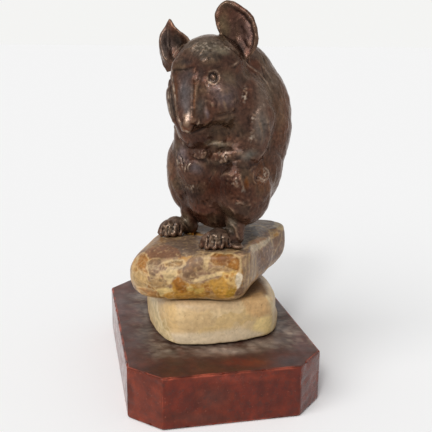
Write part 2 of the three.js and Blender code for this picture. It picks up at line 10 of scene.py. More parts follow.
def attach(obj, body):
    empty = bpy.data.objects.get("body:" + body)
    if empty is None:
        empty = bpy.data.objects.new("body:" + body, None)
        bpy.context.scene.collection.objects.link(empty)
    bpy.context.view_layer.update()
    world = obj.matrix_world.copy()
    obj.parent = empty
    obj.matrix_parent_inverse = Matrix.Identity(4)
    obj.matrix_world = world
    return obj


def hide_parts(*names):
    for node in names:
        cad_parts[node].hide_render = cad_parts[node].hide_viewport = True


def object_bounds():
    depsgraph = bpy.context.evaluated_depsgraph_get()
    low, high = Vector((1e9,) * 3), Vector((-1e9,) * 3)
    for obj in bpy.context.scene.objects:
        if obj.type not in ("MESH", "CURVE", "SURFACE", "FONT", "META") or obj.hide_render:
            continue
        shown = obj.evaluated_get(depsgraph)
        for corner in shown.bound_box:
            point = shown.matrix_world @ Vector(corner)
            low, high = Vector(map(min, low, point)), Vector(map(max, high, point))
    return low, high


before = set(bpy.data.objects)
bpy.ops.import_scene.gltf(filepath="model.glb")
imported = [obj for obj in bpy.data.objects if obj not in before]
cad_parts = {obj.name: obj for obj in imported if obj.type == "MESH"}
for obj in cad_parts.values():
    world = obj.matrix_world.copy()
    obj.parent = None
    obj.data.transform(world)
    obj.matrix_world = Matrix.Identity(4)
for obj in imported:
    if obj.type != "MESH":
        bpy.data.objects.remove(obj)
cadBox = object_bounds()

mm = 0.001
scene = bpy.context.scene


# The camera, fitted to the plinth's edges

shot = {
    "lens": 57.154,
    "sensor": 36,
    "frame": 432,                           # pixels each way
    "place": (-52.4, -263.8, 130.9),        # mm
    "swing": 12.1905,                       # degrees, to the right
    "down": 14.148,
    "roll": 0.557,
    "nearest": 0.01,                        # metres
}

cameraTurn = (Matrix.Rotation(math.radians(-shot["swing"]), 4, 'Z')
              @ Matrix.Rotation(math.radians(90 - shot["down"]), 4, 'X')
              @ Matrix.Rotation(math.radians(shot["roll"]), 4, 'Z'))
cameraAt = Vector(shot["place"])
focal = shot["lens"] / shot["sensor"] * shot["frame"]
middle = shot["frame"] / 2

cameraData = bpy.data.cameras.new("camera")
cameraData.lens = shot["lens"]
cameraData.sensor_width = shot["sensor"]
cameraData.clip_start = shot["nearest"]
camera = bpy.data.objects.new("camera", cameraData)
camera.matrix_world = Matrix.Translation(cameraAt * mm) @ cameraTurn
scene.collection.objects.link(camera)
scene.camera = camera


def pixelRay(x, y):
    way = Vector(((x - middle) / focal, (middle - y) / focal, -1))
    return (cameraTurn @ way).normalized()


def pixelsOf(co):
    turn = np.array(cameraTurn.to_3x3())
    local = (co - np.array(cameraAt)) @ turn
    return middle - focal * local[:, 0] / local[:, 2], middle + focal * local[:, 1] / local[:, 2]


# Clay tools: everything is modelled in millimetres and brought to metres at the end

stance = {
    "feetAt": (-7.9, -19.5, 56.5),          # on the upper rock
    "turn": -52,                            # degrees
    "headAt": (0, 8, 62),                   # in the mouse's own frame
    "headTurn": 4,
    "headTilt": -8,
}

mousePlace = Matrix.Translation(stance["feetAt"]) @ Matrix.Rotation(math.radians(stance["turn"]), 4, 'Z')
headPlace = (mousePlace @ Matrix.Translation(stance["headAt"])
             @ Matrix.Rotation(math.radians(stance["headTurn"]), 4, 'Z')
             @ Matrix.Rotation(math.radians(stance["headTilt"]), 4, 'Y'))


def addEgg(bm, place, centre, halfSizes, detail=4):
    shape = place @ Matrix.Translation(centre) @ Matrix.Diagonal((*halfSizes, 1))
    bmesh.ops.create_icosphere(bm, subdivisions=detail, radius=1, matrix=shape)


def addLimb(bm, place, start, end, startRadius, endRadius):
    start, end = Vector(start), Vector(end)
    along = end - start
    turn = along.to_track_quat('Z', 'Y').to_matrix().to_4x4()
    shape = place @ Matrix.Translation((start + end) / 2) @ turn
    bmesh.ops.create_cone(bm, cap_ends=True, segments=24, radius1=startRadius, radius2=endRadius,
                          depth=along.length, matrix=shape)
    addEgg(bm, place, start, [startRadius] * 3, 3)
    addEgg(bm, place, end, [endRadius] * 3, 3)


def addChain(bm, place, joints, radii):
    for i in range(len(joints) - 1):
        addLimb(bm, place, joints[i], joints[i + 1], radii[i], radii[i + 1])


def addHull(bm, place, corners, radius):
    balls = bmesh.new()
    for corner in corners:
        ball = place @ Matrix.Translation(corner)
        bmesh.ops.create_icosphere(balls, subdivisions=2, radius=radius, matrix=ball)
    hull = bmesh.ops.convex_hull(balls, input=balls.verts)
    within = [item for item in hull["geom_interior"] if isinstance(item, bmesh.types.BMVert)]
    bmesh.ops.delete(balls, geom=within, context='VERTS')
    bm.from_mesh(meshFrom(balls, "hull"))


def meshFrom(bm, name):
    mesh = bpy.data.meshes.new(name)
    bm.to_mesh(mesh)
    bm.free()
    return mesh


def withModifier(mesh, kind, **settings):
    holder = bpy.data.objects.new("clay", mesh)
    scene.collection.objects.link(holder)
    modifier = holder.modifiers.new("shape", kind)
    for key, value in settings.items():
        setattr(modifier, key, value)
    shaped = holder.evaluated_get(bpy.context.evaluated_depsgraph_get())
    result = bpy.data.meshes.new_from_object(shaped)
    bpy.data.objects.remove(holder)
    bpy.data.meshes.remove(mesh)
    return result


def reskin(mesh, voxel):
    return withModifier(mesh, 'REMESH', mode='VOXEL', voxel_size=voxel)


def readPoints(mesh):
    co = np.empty(len(mesh.vertices) * 3)
    mesh.vertices.foreach_get("co", co)
    return co.reshape(-1, 3)


def readNormals(mesh):
    normals = np.empty(len(mesh.vertices) * 3)
    mesh.vertex_normals.foreach_get("vector", normals)
    return normals.reshape(-1, 3)


def readEdges(mesh):
    edges = np.empty(len(mesh.edges) * 2, dtype=np.int64)
    mesh.edges.foreach_get("vertices", edges)
    return edges.reshape(-1, 2)


def writePoints(mesh, co):
    mesh.vertices.foreach_set("co", co.ravel())
    mesh.update()


def averaged(values, edges, times):
    count = np.bincount(edges.ravel(), minlength=len(values))[:, None]
    values = values.reshape(len(values), -1)
    for _ in range(times):
        total = np.stack([np.bincount(edges[:, 0], column[edges[:, 1]], len(values))
                          + np.bincount(edges[:, 1], column[edges[:, 0]], len(values))
                          for column in values.T], axis=1)
        values = (values + total) / (count + 1)
    return values


def relax(mesh, times):
    writePoints(mesh, averaged(readPoints(mesh), readEdges(mesh), times))


def treeOf(mesh):
    corners = np.empty(len(mesh.loops), dtype=np.int64)
    mesh.loops.foreach_get("vertex_index", corners)
    starts = np.empty(len(mesh.polygons), dtype=np.int64)
    mesh.polygons.foreach_get("loop_start", starts)
    polygons = [polygon.tolist() for polygon in np.split(corners, starts[1:])]
    return BVHTree.FromPolygons(readPoints(mesh).tolist(), polygons)


def lumps(co, size, seed):
    shift = Vector((seed * 17.3, seed * 5.1, seed * 9.7))
    return np.array([noise.noise(Vector(p) / size + shift) for p in co])


def fade(values, low, high):
    share = np.clip((values - low) / (high - low), 0, 1)
    return share * share * (3 - 2 * share)


def zone(x, y, centre, reach):
    return 1 - fade(np.hypot((x - centre[0]) / reach[0], (y - centre[1]) / reach[1]), 0, 1)


# From a CAD solid to clay, and from clay to a finished piece

solidWork = {
    "weld": 1e-6,             # metres
    "flat": 0.02,             # radians, between triangles of one flat face
    "arris": 0.3,             # radians, from here on an edge is an arris
}


def clayOf(name):
    bm = bmesh.new()
    bm.from_mesh(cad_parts[name].data)
    bmesh.ops.remove_doubles(bm, verts=bm.verts, dist=solidWork["weld"])
    bmesh.ops.scale(bm, verts=bm.verts, vec=[1 / mm] * 3)
    return bm


def flatFaced(name):
    bm = clayOf(name)
    bmesh.ops.dissolve_limit(bm, angle_limit=solidWork["flat"], verts=bm.verts, edges=bm.edges)
    return bm


def easedGrid(bm, name, easing, segments, step, axes):
    arrises = [edge for edge in bm.edges if edge.calc_face_angle(0) > solidWork["arris"]]
    bmesh.ops.bevel(bm, geom=arrises, affect='EDGES', offset=easing, segments=segments, profile=0.5,
                    material=-1)
    for axis in axes:
        low, high = min(v.co[axis] for v in bm.verts), max(v.co[axis] for v in bm.verts)
        along = Vector([1 if i == axis else 0 for i in range(3)])
        for count in range(1, int((high - low) / step)):
            bmesh.ops.bisect_plane(bm, geom=bm.verts[:] + bm.edges[:] + bm.faces[:], dist=0.01,
                                   plane_co=along * (low + count * step), plane_no=along)
    bmesh.ops.recalc_face_normals(bm, faces=bm.faces)
    return meshFrom(bm, name)


def finishPiece(mesh, name, node):
    mesh.transform(Matrix.Scale(mm, 4))
    mesh.shade_smooth()
    piece = bpy.data.objects.new(name, mesh)
    scene.collection.objects.link(piece)
    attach(piece, "root")
    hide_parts(node)
    return piece


# Strokes of the modelling tool, along a path of photograph pixels or of places in the mouse's frame

strokeWork = {
    "pixelStep": 1.5,
    "step": 0.6,              # where the path is in millimetres
    "longestGap": 3,          # beyond this the path has jumped to another part
}


def pathOnSkin(tree, path, place=None):
    spots, normals = [], []
    stepLength = strokeWork["pixelStep" if place is None else "step"]
    for a, b in zip(path[:-1], path[1:]):
        steps = max(int((Vector(b) - Vector(a)).length / stepLength), 1)
        for step in range(steps + 1):
            at = Vector(a).lerp(Vector(b), step / steps)
            if place is None:
                spot, normal = tree.ray_cast(cameraAt, pixelRay(at.x, at.y))[:2]
            else:
                spot, normal = tree.find_nearest(place @ at)[:2]
            if spot is not None:
                spots.append(spot)
                normals.append(normal)
    return np.array(spots), np.array(normals)


def stroke(clay, path, width, height, place=None, taper=0.25):
    spots, ways = pathOnSkin(clay["tree"], path, place)
    if len(spots) < 2:
        return
    within = (clay["co"] > spots.min(0) - width) & (clay["co"] < spots.max(0) + width)
    near = np.where(np.all(within, axis=1))[0]
    best = np.zeros(len(near))
    length = np.r_[0, np.cumsum(np.linalg.norm(np.diff(spots, axis=0), axis=1))]
    for i in range(len(spots) - 1):
        along = spots[i + 1] - spots[i]
        span = along @ along
        if span < 1e-6 or span > strokeWork["longestGap"] ** 2:
            continue
        rest = clay["co"][near] - spots[i]
        share = np.clip(rest @ along / span, 0, 1)
        away = np.linalg.norm(rest - share[:, None] * along, axis=1)
        reach = (length[i] + share * math.sqrt(span)) / length[-1]
        ends = fade(np.minimum(reach, 1 - reach), -0.02, max(taper, 0.01))
        facing = np.clip(clay["normals"][near] @ ways[i] * 2, 0, 1)
        bump = (1 - fade(away, 0, width)) * ends * facing
        best = np.maximum(best, bump)
    clay["lift"][near] += height * best


# The mouse: big masses first, then limbs, ears, paws and feet, then the skin over all of it

bodyForms = {              # centre and half sizes, in the mouse's own frame
    "rump": ((0.4, 24.9, 30.7), (17.5, 18.5, 24)),
    "back": ((0, 28.5, 43.5), (18, 20.6, 27.6)),
    "neck": ((0.3, 23.9, 62.8), (12.5, 14.3, 12.7)),
    "chest": ((0, 16, 45), (13, 10, 15)),
    "belly": ((-2.5, 16, 19), (14.5, 10.5, 15.3)),
    "leftRuff": ((12, 16, 50), (6, 9, 13)),
    "rightRuff": ((-12, 16, 50), (6, 9, 13)),
    "leftHaunch": ((12, 16, 20), (8, 11.5, 12.5)),
    "rightHaunch": ((-16.3, 16.5, 24.9), (9.8, 10, 17.5)),
    "leftKnee": ((12.5, 9.2, 25.5), (6, 5.2, 8)),
    "lap": ((4.8, 10.4, 23.5), (6.4, 5, 11)),
    "rightKnee": ((-9, 9.2, 28), (6, 5.3, 9)),
    "lapTop": ((4, 11.4, 30), (13, 5, 5)),
    "leftWristFill": ((9.5, 10.8, 36), (7, 3.6, 6)),
    "rightWristFill": ((-7, 10.4, 36), (6.5, 3.6, 6)),
}

headForms = {              # the same, in the head's frame
    "cranium": ((0, 1, 3.2), (13, 12.5, 12.2)),
    "nape": ((0, 9, 3), (11.5, 10, 11)),
    "throat": ((-6.3, -1, -15), (8.6, 8, 11)),
    "leftCheek": ((7.8, -3.6, -7.3), (6, 7.6, 10)),
    "rightCheek": ((-8.4, -4.8, -7), (6.3, 7.6, 12)),
    "leftPad": ((3.2, -8.6, -12.8), (2.8, 3.8, 5)),
    "rightPad": ((-3.2, -8.6, -12.8), (2.8, 3.8, 5)),
    "leftBridge": ((5, -8.6, -6), (3.4, 3, 9.5)),
    "leftBrow": ((5.5, -8, 4.5), (4.6, 4, 4)),
    "rightBrow": ((-5.5, -8, 4.5), (4.6, 4, 4)),
}

snout = {
    "corners": [(-7.4, -10.2, 3.4), (3.2, -11.3, 3), (-6.5, -5, 3.4), (7, -6.4, 3),
                (-4.2, -14, -14.4), (1.3, -14.5, -14.4), (-4, -9, -16.6), (3.6, -9.5, -16)],
    "rounding": 0.9,
    "nose": ((-1.5, -13.7, -16.2), (2.5, 2.3, 2.3)),
}

eyes = {
    "left": (8.7, -8.6, -0.3),
    "right": (-8.3, -7.2, -0.5),
    "radius": 1.4,
}

upperArms = {
    "left": [(14, 17.5, 48), (14.4, 14.6, 37.2)],
    "right": [(-13, 14.5, 47), (-13.2, 10.8, 34)],
    "radii": (7.5, 5.4),
}

forearms = {
    "left": [(14.4, 14.6, 37.2), (11, 8.4, 35), (8, 6.3, 34.7)],
    "right": [(-13.2, 10.8, 34), (-5.6, 7.6, 35), (-2.1, 6.2, 35.2)],
    "radii": (5.2, 2.9, 2.5),
    "palm": (3.1, 2.5, 2.6),
    "knuckleShare": 0.35,                  # from the palm to the finger's tip
    "fingers": {
        "left": [(6.3, 4.2, 35.2), (7.2, 4.0, 33.4), (9.2, 4.1, 32.6), (11, 4.6, 33)],
        "right": [(-3.2, 4.2, 33.5), (-1.4, 4.0, 33.1), (0.4, 4.1, 33.5), (1.2, 4.6, 34.9)],
    },
    "fingerRadii": (1.1, 0.95),
}

feet = {
    "left": {
        "ankle": (10.5, 11.5), "ball": (7.4, 5.2), "heel": (14.2, 7.8, 1.1),
        "toes": [(4.2, -0.6), (7.0, -0.8), (9.2, 0.8), (10.6, 3.0), (11.6, 5.8)],
    },
    "right": {
        "ankle": (-13.8, 13), "ball": (-16.8, 7.4), "heel": (-15, 15.5, 1.1),
        "toes": [(-20.2, 2.2), (-18, 0.9), (-15.8, 1.6), (-14, 3.4), (-12.9, 6)],
    },
    "radius": 3.2,
    "ballSizes": (4.7, 4.6, 3.9),
    "ballSink": 0.4,
    "heel": (2.7, 2.3, 1.3),
    "shankTop": 12,
    "shankRadii": (3, 4.2),
    "toeRadii": (1.4, 1.45, 1.2),
    "knuckleShare": 0.46,                  # from the tip back to the ball
    "knuckleHeight": 5.2,
    "bendShare": 0.45,                     # from the tip to the knuckle
    "bendHeight": 3.9,
}

tail = {
    "route": [(0, 31, 13), (-1, 38, 8.5), (-4, 40.8, 5.2), (-9, 40, 3.2),
              (-14, 35, 2.6), (-18.5, 28.5, 2.1), (-21.5, 21.5, 1.5)],
    "radii": (2.3, 0.9),
    "steps": 30,
}

ears = {            # places on the leaf: to the mouse's right of the root, then up from it
    "left": {
        "root": (11.6, 6.5, 7.5), "tip": (11.2, 1.5, 25.6), "facing": (0.45, -0.9, 0.12),
        "thickness": 1.7, "dish": 2.9, "dishCentre": (0.6, 7.5), "dishReach": (7.4, 13),
        "outline": [(2, 20.2), (4.4, 19.3), (6, 18.1), (7.2, 16.6), (7.6, 14.9), (7.7, 12.3), (7, 9.3),
                    (6.6, 6.7), (5.4, 1.8), (2.8, -3.3), (-0.1, -3.3), (-2.9, -1.8), (-5.5, 0.8),
                    (-6.7, 3.4), (-7, 6), (-7, 9.4), (-6.6, 11.9), (-5.2, 14.4), (-3.8, 16.2),
                    (-2.6, 17.6), (-0.6, 19.3)],
    },
    "right": {
        "root": (-10.8, 1.5, 3.5), "tip": (-12.6, -3.5, 22), "facing": (-0.1, -0.99, 0.1),
        "thickness": 1.6, "dish": 3.2, "dishCentre": (4.2, 10.5), "dishReach": (8, 9),
        "outline": [(6.6, 21.9), (8.6, 20.6), (10, 18.6), (11.6, 16.6), (12.9, 14.4), (13.7, 12.4),
                    (13.9, 10.5), (13.7, 8.8), (12.9, 4.5), (11.2, 1.2), (4.8, 1.5), (-2, 5.1),
                    (-3.3, 10.7), (0.4, 14), (3.8, 16.6)],
        "fold": [(8.2, 20.8), (9.3, 15.5), (9.5, 11.4), (8.6, 7.5), (6.5, 4)],
        "foldHeight": 2.6, "foldReach": 4.6,
        "foldLip": (-0.7, 0.3), "foldFoot": (2.5, 7), "foldHead": (13, 20),
    },
    "voxel": 0.5,
    "relax": 4,
}


def makeEar(name):
    ear = ears[name]
    root = Vector(ear["root"])
    front = Vector(ear["facing"]).normalized()
    upward = Vector(ear["tip"]) - root
    upward = (upward - front * upward.dot(front)).normalized()
    sideways = front.cross(upward)
    bm = bmesh.new()
    behind = front * ear["thickness"] / 2
    rim = [bm.verts.new(root + sideways * x + upward * y - behind) for x, y in ear["outline"]]
    leaf = bm.faces.new(rim)
    skinOver = bmesh.ops.extrude_face_region(bm, geom=[leaf])["geom"]
    bmesh.ops.translate(bm, verts=[v for v in skinOver if isinstance(v, bmesh.types.BMVert)],
                        vec=front * ear["thickness"])
    bmesh.ops.recalc_face_normals(bm, faces=bm.faces)
    mesh = reskin(meshFrom(bm, "ear"), ears["voxel"])
    relax(mesh, ears["relax"])
    co = readPoints(mesh)
    x = (co - np.array(root)) @ np.array(sideways)
    y = (co - np.array(root)) @ np.array(upward)
    depth = -ear["dish"] * zone(x, y, ear["dishCentre"], ear["dishReach"])
    if "fold" in ear:
        foldX, foldY = np.array(ear["fold"][::-1]).T
        over = x - np.interp(y, foldY, foldX)
        wall = (ear["foldHeight"] * (1 - fade(over, ear["foldLip"][1], ear["foldReach"]))
                * fade(y, *ear["foldFoot"]) * (1 - fade(y, *ear["foldHead"])))
        depth = depth + (wall - depth) * fade(over, *ear["foldLip"])
    writePoints(mesh, co + depth[:, None] * np.array(front))
    mesh.transform(headPlace)
    return mesh


def addPaw(bm, name):
    joints = forearms[name]
    addChain(bm, mousePlace, joints, forearms["radii"])
    addEgg(bm, mousePlace, joints[-1], forearms["palm"], 3)
    for tip in forearms["fingers"][name]:
        knuckle = Vector(joints[-1]).lerp(Vector(tip), forearms["knuckleShare"])
        addLimb(bm, mousePlace, knuckle, tip, *forearms["fingerRadii"])


def addFoot(bm, name):
    foot = feet[name]
    ankle = Vector((*foot["ankle"], feet["radius"]))
    ball = Vector((*foot["ball"], feet["ballSizes"][2] - feet["ballSink"]))
    addLimb(bm, mousePlace, ankle, ball, feet["radius"], feet["radius"])
    addEgg(bm, mousePlace, ball, feet["ballSizes"])
    addEgg(bm, mousePlace, foot["heel"], feet["heel"], 3)
    addLimb(bm, mousePlace, ankle, (ankle.x, ankle.y, feet["shankTop"]), *feet["shankRadii"])
    for place in foot["toes"]:
        tip = Vector((*place, feet["toeRadii"][2]))
        knuckle = tip.lerp(ball, feet["knuckleShare"])
        knuckle.z = feet["knuckleHeight"]
        bend = tip.lerp(knuckle, feet["bendShare"])
        bend.z = feet["bendHeight"]
        addChain(bm, mousePlace, [knuckle, bend, tip], feet["toeRadii"])


def addTail(bm):
    route = [Vector(p) for p in tail["route"]]
    steps = tail["steps"]
    joints = []
    for step in range(steps + 1):
        at = step / steps * (len(route) - 1)
        i = min(int(at), len(route) - 2)
        before, after = route[max(i - 1, 0)], route[min(i + 2, len(route) - 1)]
        t = at - i
        slopeA, slopeB = (route[i + 1] - before) / 2, (after - route[i]) / 2
        joints.append(route[i] * (2 * t ** 3 - 3 * t ** 2 + 1) + slopeA * (t ** 3 - 2 * t ** 2 + t)
                      + route[i + 1] * (3 * t ** 2 - 2 * t ** 3) + slopeB * (t ** 3 - t ** 2))
    thick, thin = tail["radii"]
    addChain(bm, mousePlace, joints, [thick + (thin - thick) * step / steps for step in range(steps + 1)])


skinWork = {
    "massVoxel": 1.0,
    "massRelax": 8,
    "massSwell": 0.4,                      # what the smoothing took off
    "voxel": 0.38,
    "relax": 3,
}

masses = bmesh.new()
for centre, halfSizes in bodyForms.values():
    addEgg(masses, mousePlace, centre, halfSizes)
for centre, halfSizes in headForms.values():
    addEgg(masses, headPlace, centre, halfSizes)
for name in ("left", "right"):
    addLimb(masses, mousePlace, *upperArms[name], *upperArms["radii"])
coarse = reskin(meshFrom(masses, "masses"), skinWork["massVoxel"])
relax(coarse, skinWork["massRelax"])
writePoints(coarse, readPoints(coarse) + readNormals(coarse) * skinWork["massSwell"])
print("masses:", len(coarse.vertices), "points")

details = bmesh.new()
details.from_mesh(coarse)
addHull(details, headPlace, snout["corners"], snout["rounding"])
addEgg(details, headPlace, *snout["nose"], 3)
for name in ("left", "right"):
    addEgg(details, headPlace, eyes[name], [eyes["radius"]] * 3, 3)
    addPaw(details, name)
    addFoot(details, name)
    details.from_mesh(makeEar(name))
addTail(details)
whole = reskin(meshFrom(details, "mouse"), skinWork["voxel"])
relax(whole, skinWork["relax"])
print("skin:", len(whole.vertices), "points")


# Chasing: strokes of the tool, placed by photograph pixels on the side in view

headChasing = {            # path, then width and height in millimetres; below zero cuts in
    "plateEdge": ([(172, 70), (172.5, 81), (175, 94), (176.3, 109), (178.4, 119), (184, 129.6),
                   (190, 133)], 0.7, 0.5),
    "plateGroove": ([(197.4, 66), (194.2, 80), (192.8, 95), (192.6, 109), (193.8, 117)], 1.0, -0.3),
    "plateGrooveLip": ([(200.6, 70), (200, 80), (196.4, 90), (195.2, 104)], 0.7, 0.2),
    "plateTop": ([(173.5, 70), (185, 69.4), (195, 66.8)], 1.0, -0.3),
    "plateHollow": ([(183, 77), (183.6, 90), (185, 103)], 2.8, -0.35),
    "noseRidge": ([(185.6, 112), (186, 119), (187.4, 127)], 1.9, 0.8),
    "cheekLine": ([(168, 92), (168.4, 102), (170, 112.5), (173.8, 125), (179, 136), (184, 145)],
                  0.7, 0.4),
    "cheekGroove": ([(170.4, 78), (171, 94), (173, 109), (175.4, 121), (181, 132)], 0.9, -0.35),
    "eyeLid": ([(207.4, 77), (208.3, 72.8), (211.4, 70.2), (215.4, 70.2), (218.8, 72.8), (220, 77),
                (218.8, 81.6), (215.4, 84.6), (211.2, 84.4), (208.2, 81.6), (207.4, 77)], 0.55, 0.22),
    "mouth": ([(191, 133.4), (200, 130), (208.8, 125.4), (213.4, 119)], 0.9, -0.4),
    "nostril": ([(194.6, 123.6), (197.2, 121.6)], 0.7, -0.4),
    "nostrilLip": ([(198.6, 118), (199, 122), (197.2, 125.6)], 0.6, 0.4),
    "whiskerGrooveA": ([(202.8, 113), (202, 108), (204.6, 104), (208.6, 103)], 0.7, -0.08),
    "whiskerLipA": ([(203.6, 101.4), (208.6, 100.8), (212, 104)], 0.7, 0.2),
    "whiskerPadA": ([(205.4, 108), (206.8, 113.6), (206.4, 119)], 1.6, 0.35),
    "whiskerGrooveB": ([(214, 98), (216.6, 101.6), (216.4, 107.6)], 0.8, -0.25),
    "whiskerPadB": ([(211.6, 103), (213.4, 106.4)], 1.1, 0.3),
    "upperCheek": ([(219, 90), (224, 92), (229, 91)], 3.0, 0.6),
    "cheekFold": ([(213, 118), (225, 114.4), (238, 112)], 1.6, -0.45),
    "lowerCheek": ([(218, 106), (228, 103), (238, 98)], 2.2, 0.3),
    "earFoldA": ([(230, 66.4), (234, 65), (238.6, 60.8)], 0.7, 0.3),
    "earFoldB": ([(231.4, 69), (236, 67), (240, 62.6)], 0.7, -0.2),
    "browFold": ([(199.6, 55.6), (202.4, 50.4), (206, 48)], 0.8, 0.3),
    "browFoldShade": ([(204, 57), (207.6, 52.4), (213, 50)], 1.2, -0.3),
    "crownWave": ([(184, 52), (192, 48), (198, 42.4)], 1.6, 0.35),
    "templeMarkA": ([(222, 43), (225.6, 46.4), (229.6, 46.8)], 0.7, 0.3),
    "templeMarkB": ([(220.6, 45.6), (224.6, 49.6), (230, 50)], 0.7, -0.25),
    "squiggleA": ([(243, 87), (246.4, 88.6), (243.2, 91), (246.4, 94), (245, 98), (243, 101), (246, 104)],
                  0.6, 0.4),
    "squiggleB": ([(250, 113), (255.6, 115.6), (252, 118.4), (256, 121.6)], 0.6, 0.3),
    "squiggleC": ([(249.4, 128.6), (254.6, 131), (250, 134), (255, 137), (250.6, 140), (254, 143)],
                  0.6, 0.3),
    "ruffLineA": ([(241, 56), (248.8, 66), (260, 73.8), (266, 82), (271, 91)], 0.8, 0.35),
    "ruffLineB": ([(256, 58.8), (262.5, 66), (268.8, 75), (273.4, 85)], 0.8, 0.3),
    "ruffLineC": ([(250, 72), (258, 78.6), (264.6, 88), (268, 100)], 0.9, 0.3),
    "ruffGroove": ([(240, 68), (250, 78), (256, 90), (258, 104), (252, 118), (247, 128)], 2.2, -0.35),
}

eyeChasing = {
    "centre": (213.4, 77.1),
    "rightPlace": Vector((-10.5, -8.6, -0.5)),
    "rightFacing": (-0.8, -0.6, 0),
    "pixelsPerMillimetre": 2.3,
    "ball": (1.1, 0.05),
    "moat": (4.2, 0.8, -0.4),             # pixels out from the centre, then width and height
    "lid": (5.5, 0.8, 0.08),
}

armChasing = {
    "upperArmRidge": ([(263.6, 104), (267.4, 121), (269.6, 136), (267.4, 147), (261, 157)], 1.0, 0.35),
    "upperArmGroove": ([(261, 112), (264.4, 126), (266, 138), (263, 148)], 1.0, -0.15),
    "upperArmLine": ([(258, 118), (261.6, 130), (262.4, 140), (259.4, 149)], 0.9, 0.3),
    "underArm": ([(232, 163.4), (240, 165), (249, 165.6), (257, 164.4), (264, 159)], 1.7, -0.15),
    "forearmRidge": ([(233, 152), (242, 155), (252, 158), (260, 155)], 1.8, 0.35),
    "wristRidge": ([(207, 145.4), (213, 143.4), (221, 142.6), (228, 144)], 0.9, 0.25),
    "underPaws": ([(192, 160), (200, 161.5), (207, 160), (213, 163), (222, 166)], 1.2, -0.1),
    "betweenPaws": ([(209.6, 150), (209.8, 155), (208.6, 159)], 1.2, -0.25),
    "rightArmEdgeA": ([(176.5, 150), (176.8, 158), (178.6, 166), (182, 171)], 0.7, 0.5),
    "rightArmEdgeB": ([(179.4, 153), (181.5, 160), (184, 167)], 0.8, -0.45),
    "rightArmEdgeC": ([(185.8, 164), (185.4, 168), (184.5, 173)], 0.6, 0.45),
    "jowlNook": ([(186.6, 148), (189, 144), (189.5, 140)], 0.9, -0.3),
}

bodyChasing = {
    "rightKnee": ([(193, 165), (199, 163), (205, 166), (207, 173)], 2.2, 0.5),
    "rightKneeLight": ([(188.4, 172), (187.8, 167), (190, 163.4)], 0.7, 0.45),
    "rightKneeGroove": ([(188, 178), (194, 182), (202, 181)], 1.4, -0.25),
    "kneeHollow": ([(207, 177), (211, 184), (214, 192)], 2.4, -0.35),
    "leftKnee": ([(216, 176), (224, 174), (233, 176)], 2.4, 0.3),
    "thighWrinkleA": ([(222.6, 176), (227, 173.6), (231, 176.4), (235, 174)], 0.6, 0.18),
    "thighWrinkleB": ([(226, 180.6), (230, 178), (233.6, 181), (237, 178.6), (240, 181)], 0.6, 0.18),
    "thighWrinkleC": ([(229, 186), (233, 183.4), (237, 186.6), (241, 184)], 0.6, 0.2),
    "thighGrooveA": ([(224, 178.6), (229, 182.4), (234, 188)], 0.8, -0.25),
    "spotEdgeLeft": ([(241, 172), (240.6, 178), (242.4, 184), (243, 189)], 0.7, 0.3),
    "spotHollow": ([(245, 174), (246, 182), (247, 189)], 1.6, -0.45),
    "spotGlint": ([(242.4, 187.6), (244, 190)], 0.8, 0.5),
    "shinRidge": ([(236, 203.6), (240, 202.8), (244, 204)], 1.2, 0.35),
    "shinGroove": ([(229, 200), (235, 198), (242, 200)], 1.0, -0.3),
    "shinLine": ([(228, 206), (233, 210), (236, 216)], 0.9, 0.35),
    "flankHollow": ([(256, 181), (258, 175), (262, 171.4)], 1.7, -0.45),
    "flankLineA": ([(264.6, 167.6), (268, 170), (269, 174), (266.6, 178.6), (261, 183)], 0.6, 0.5),
    "flankLineB": ([(262.6, 168.6), (265.4, 171.6), (265, 176)], 0.5, 0.4),
    "flankLineC": ([(254, 171), (252.6, 176), (253.8, 182), (257.4, 184.6)], 0.6, 0.4),
    "flankMarkD": ([(249, 172), (252, 167.6), (257, 166)], 0.7, 0.35),
    "bellyFoldA": ([(186, 200), (196, 204), (207, 203), (217, 206)], 2.0, -0.3),
    "bellyFoldB": ([(192, 211), (203, 214), (214, 212)], 1.8, 0.3),
    "haunchFold": ([(171, 176), (174, 186), (179, 196), (186, 205)], 1.5, 0.35),
    "haunchGroove": ([(176, 180), (180, 189), (186, 196)], 1.5, -0.25),
    "haunchLine": ([(270, 158), (276, 168), (274, 182), (266, 196), (256, 206)], 2.0, 0.3),
    "backNotch": ([(276, 151), (280, 154), (283, 158)], 1.2, -0.3),
}

earChasing = {
    "leftLip": ([(216, 12), (219, 6.4), (226.9, 2.6), (236, 6.6), (246, 13), (253, 21), (256, 33),
                 (255, 45), (250, 54.5), (246.6, 58.6)], 0.8, 0.35),
    "leftLipGroove": ([(234, 9), (243.5, 15), (250.4, 24), (253, 35), (252, 45), (248, 54)], 0.9, -0.35),
    "leftFold": ([(237, 14), (244, 24), (248, 34), (248, 44), (245, 53)], 1.6, 0.25),
    "leftFrontRim": ([(216.6, 25), (222, 35), (229, 43), (236, 50), (243, 58)], 0.8, 0.4),
    "rightRim": ([(168.4, 22), (168, 34), (168.2, 46), (171, 51.6)], 0.6, 0.4),
    "rightBase": ([(190, 42), (182.5, 46), (176, 51), (173, 56)], 0.9, 0.5),
}

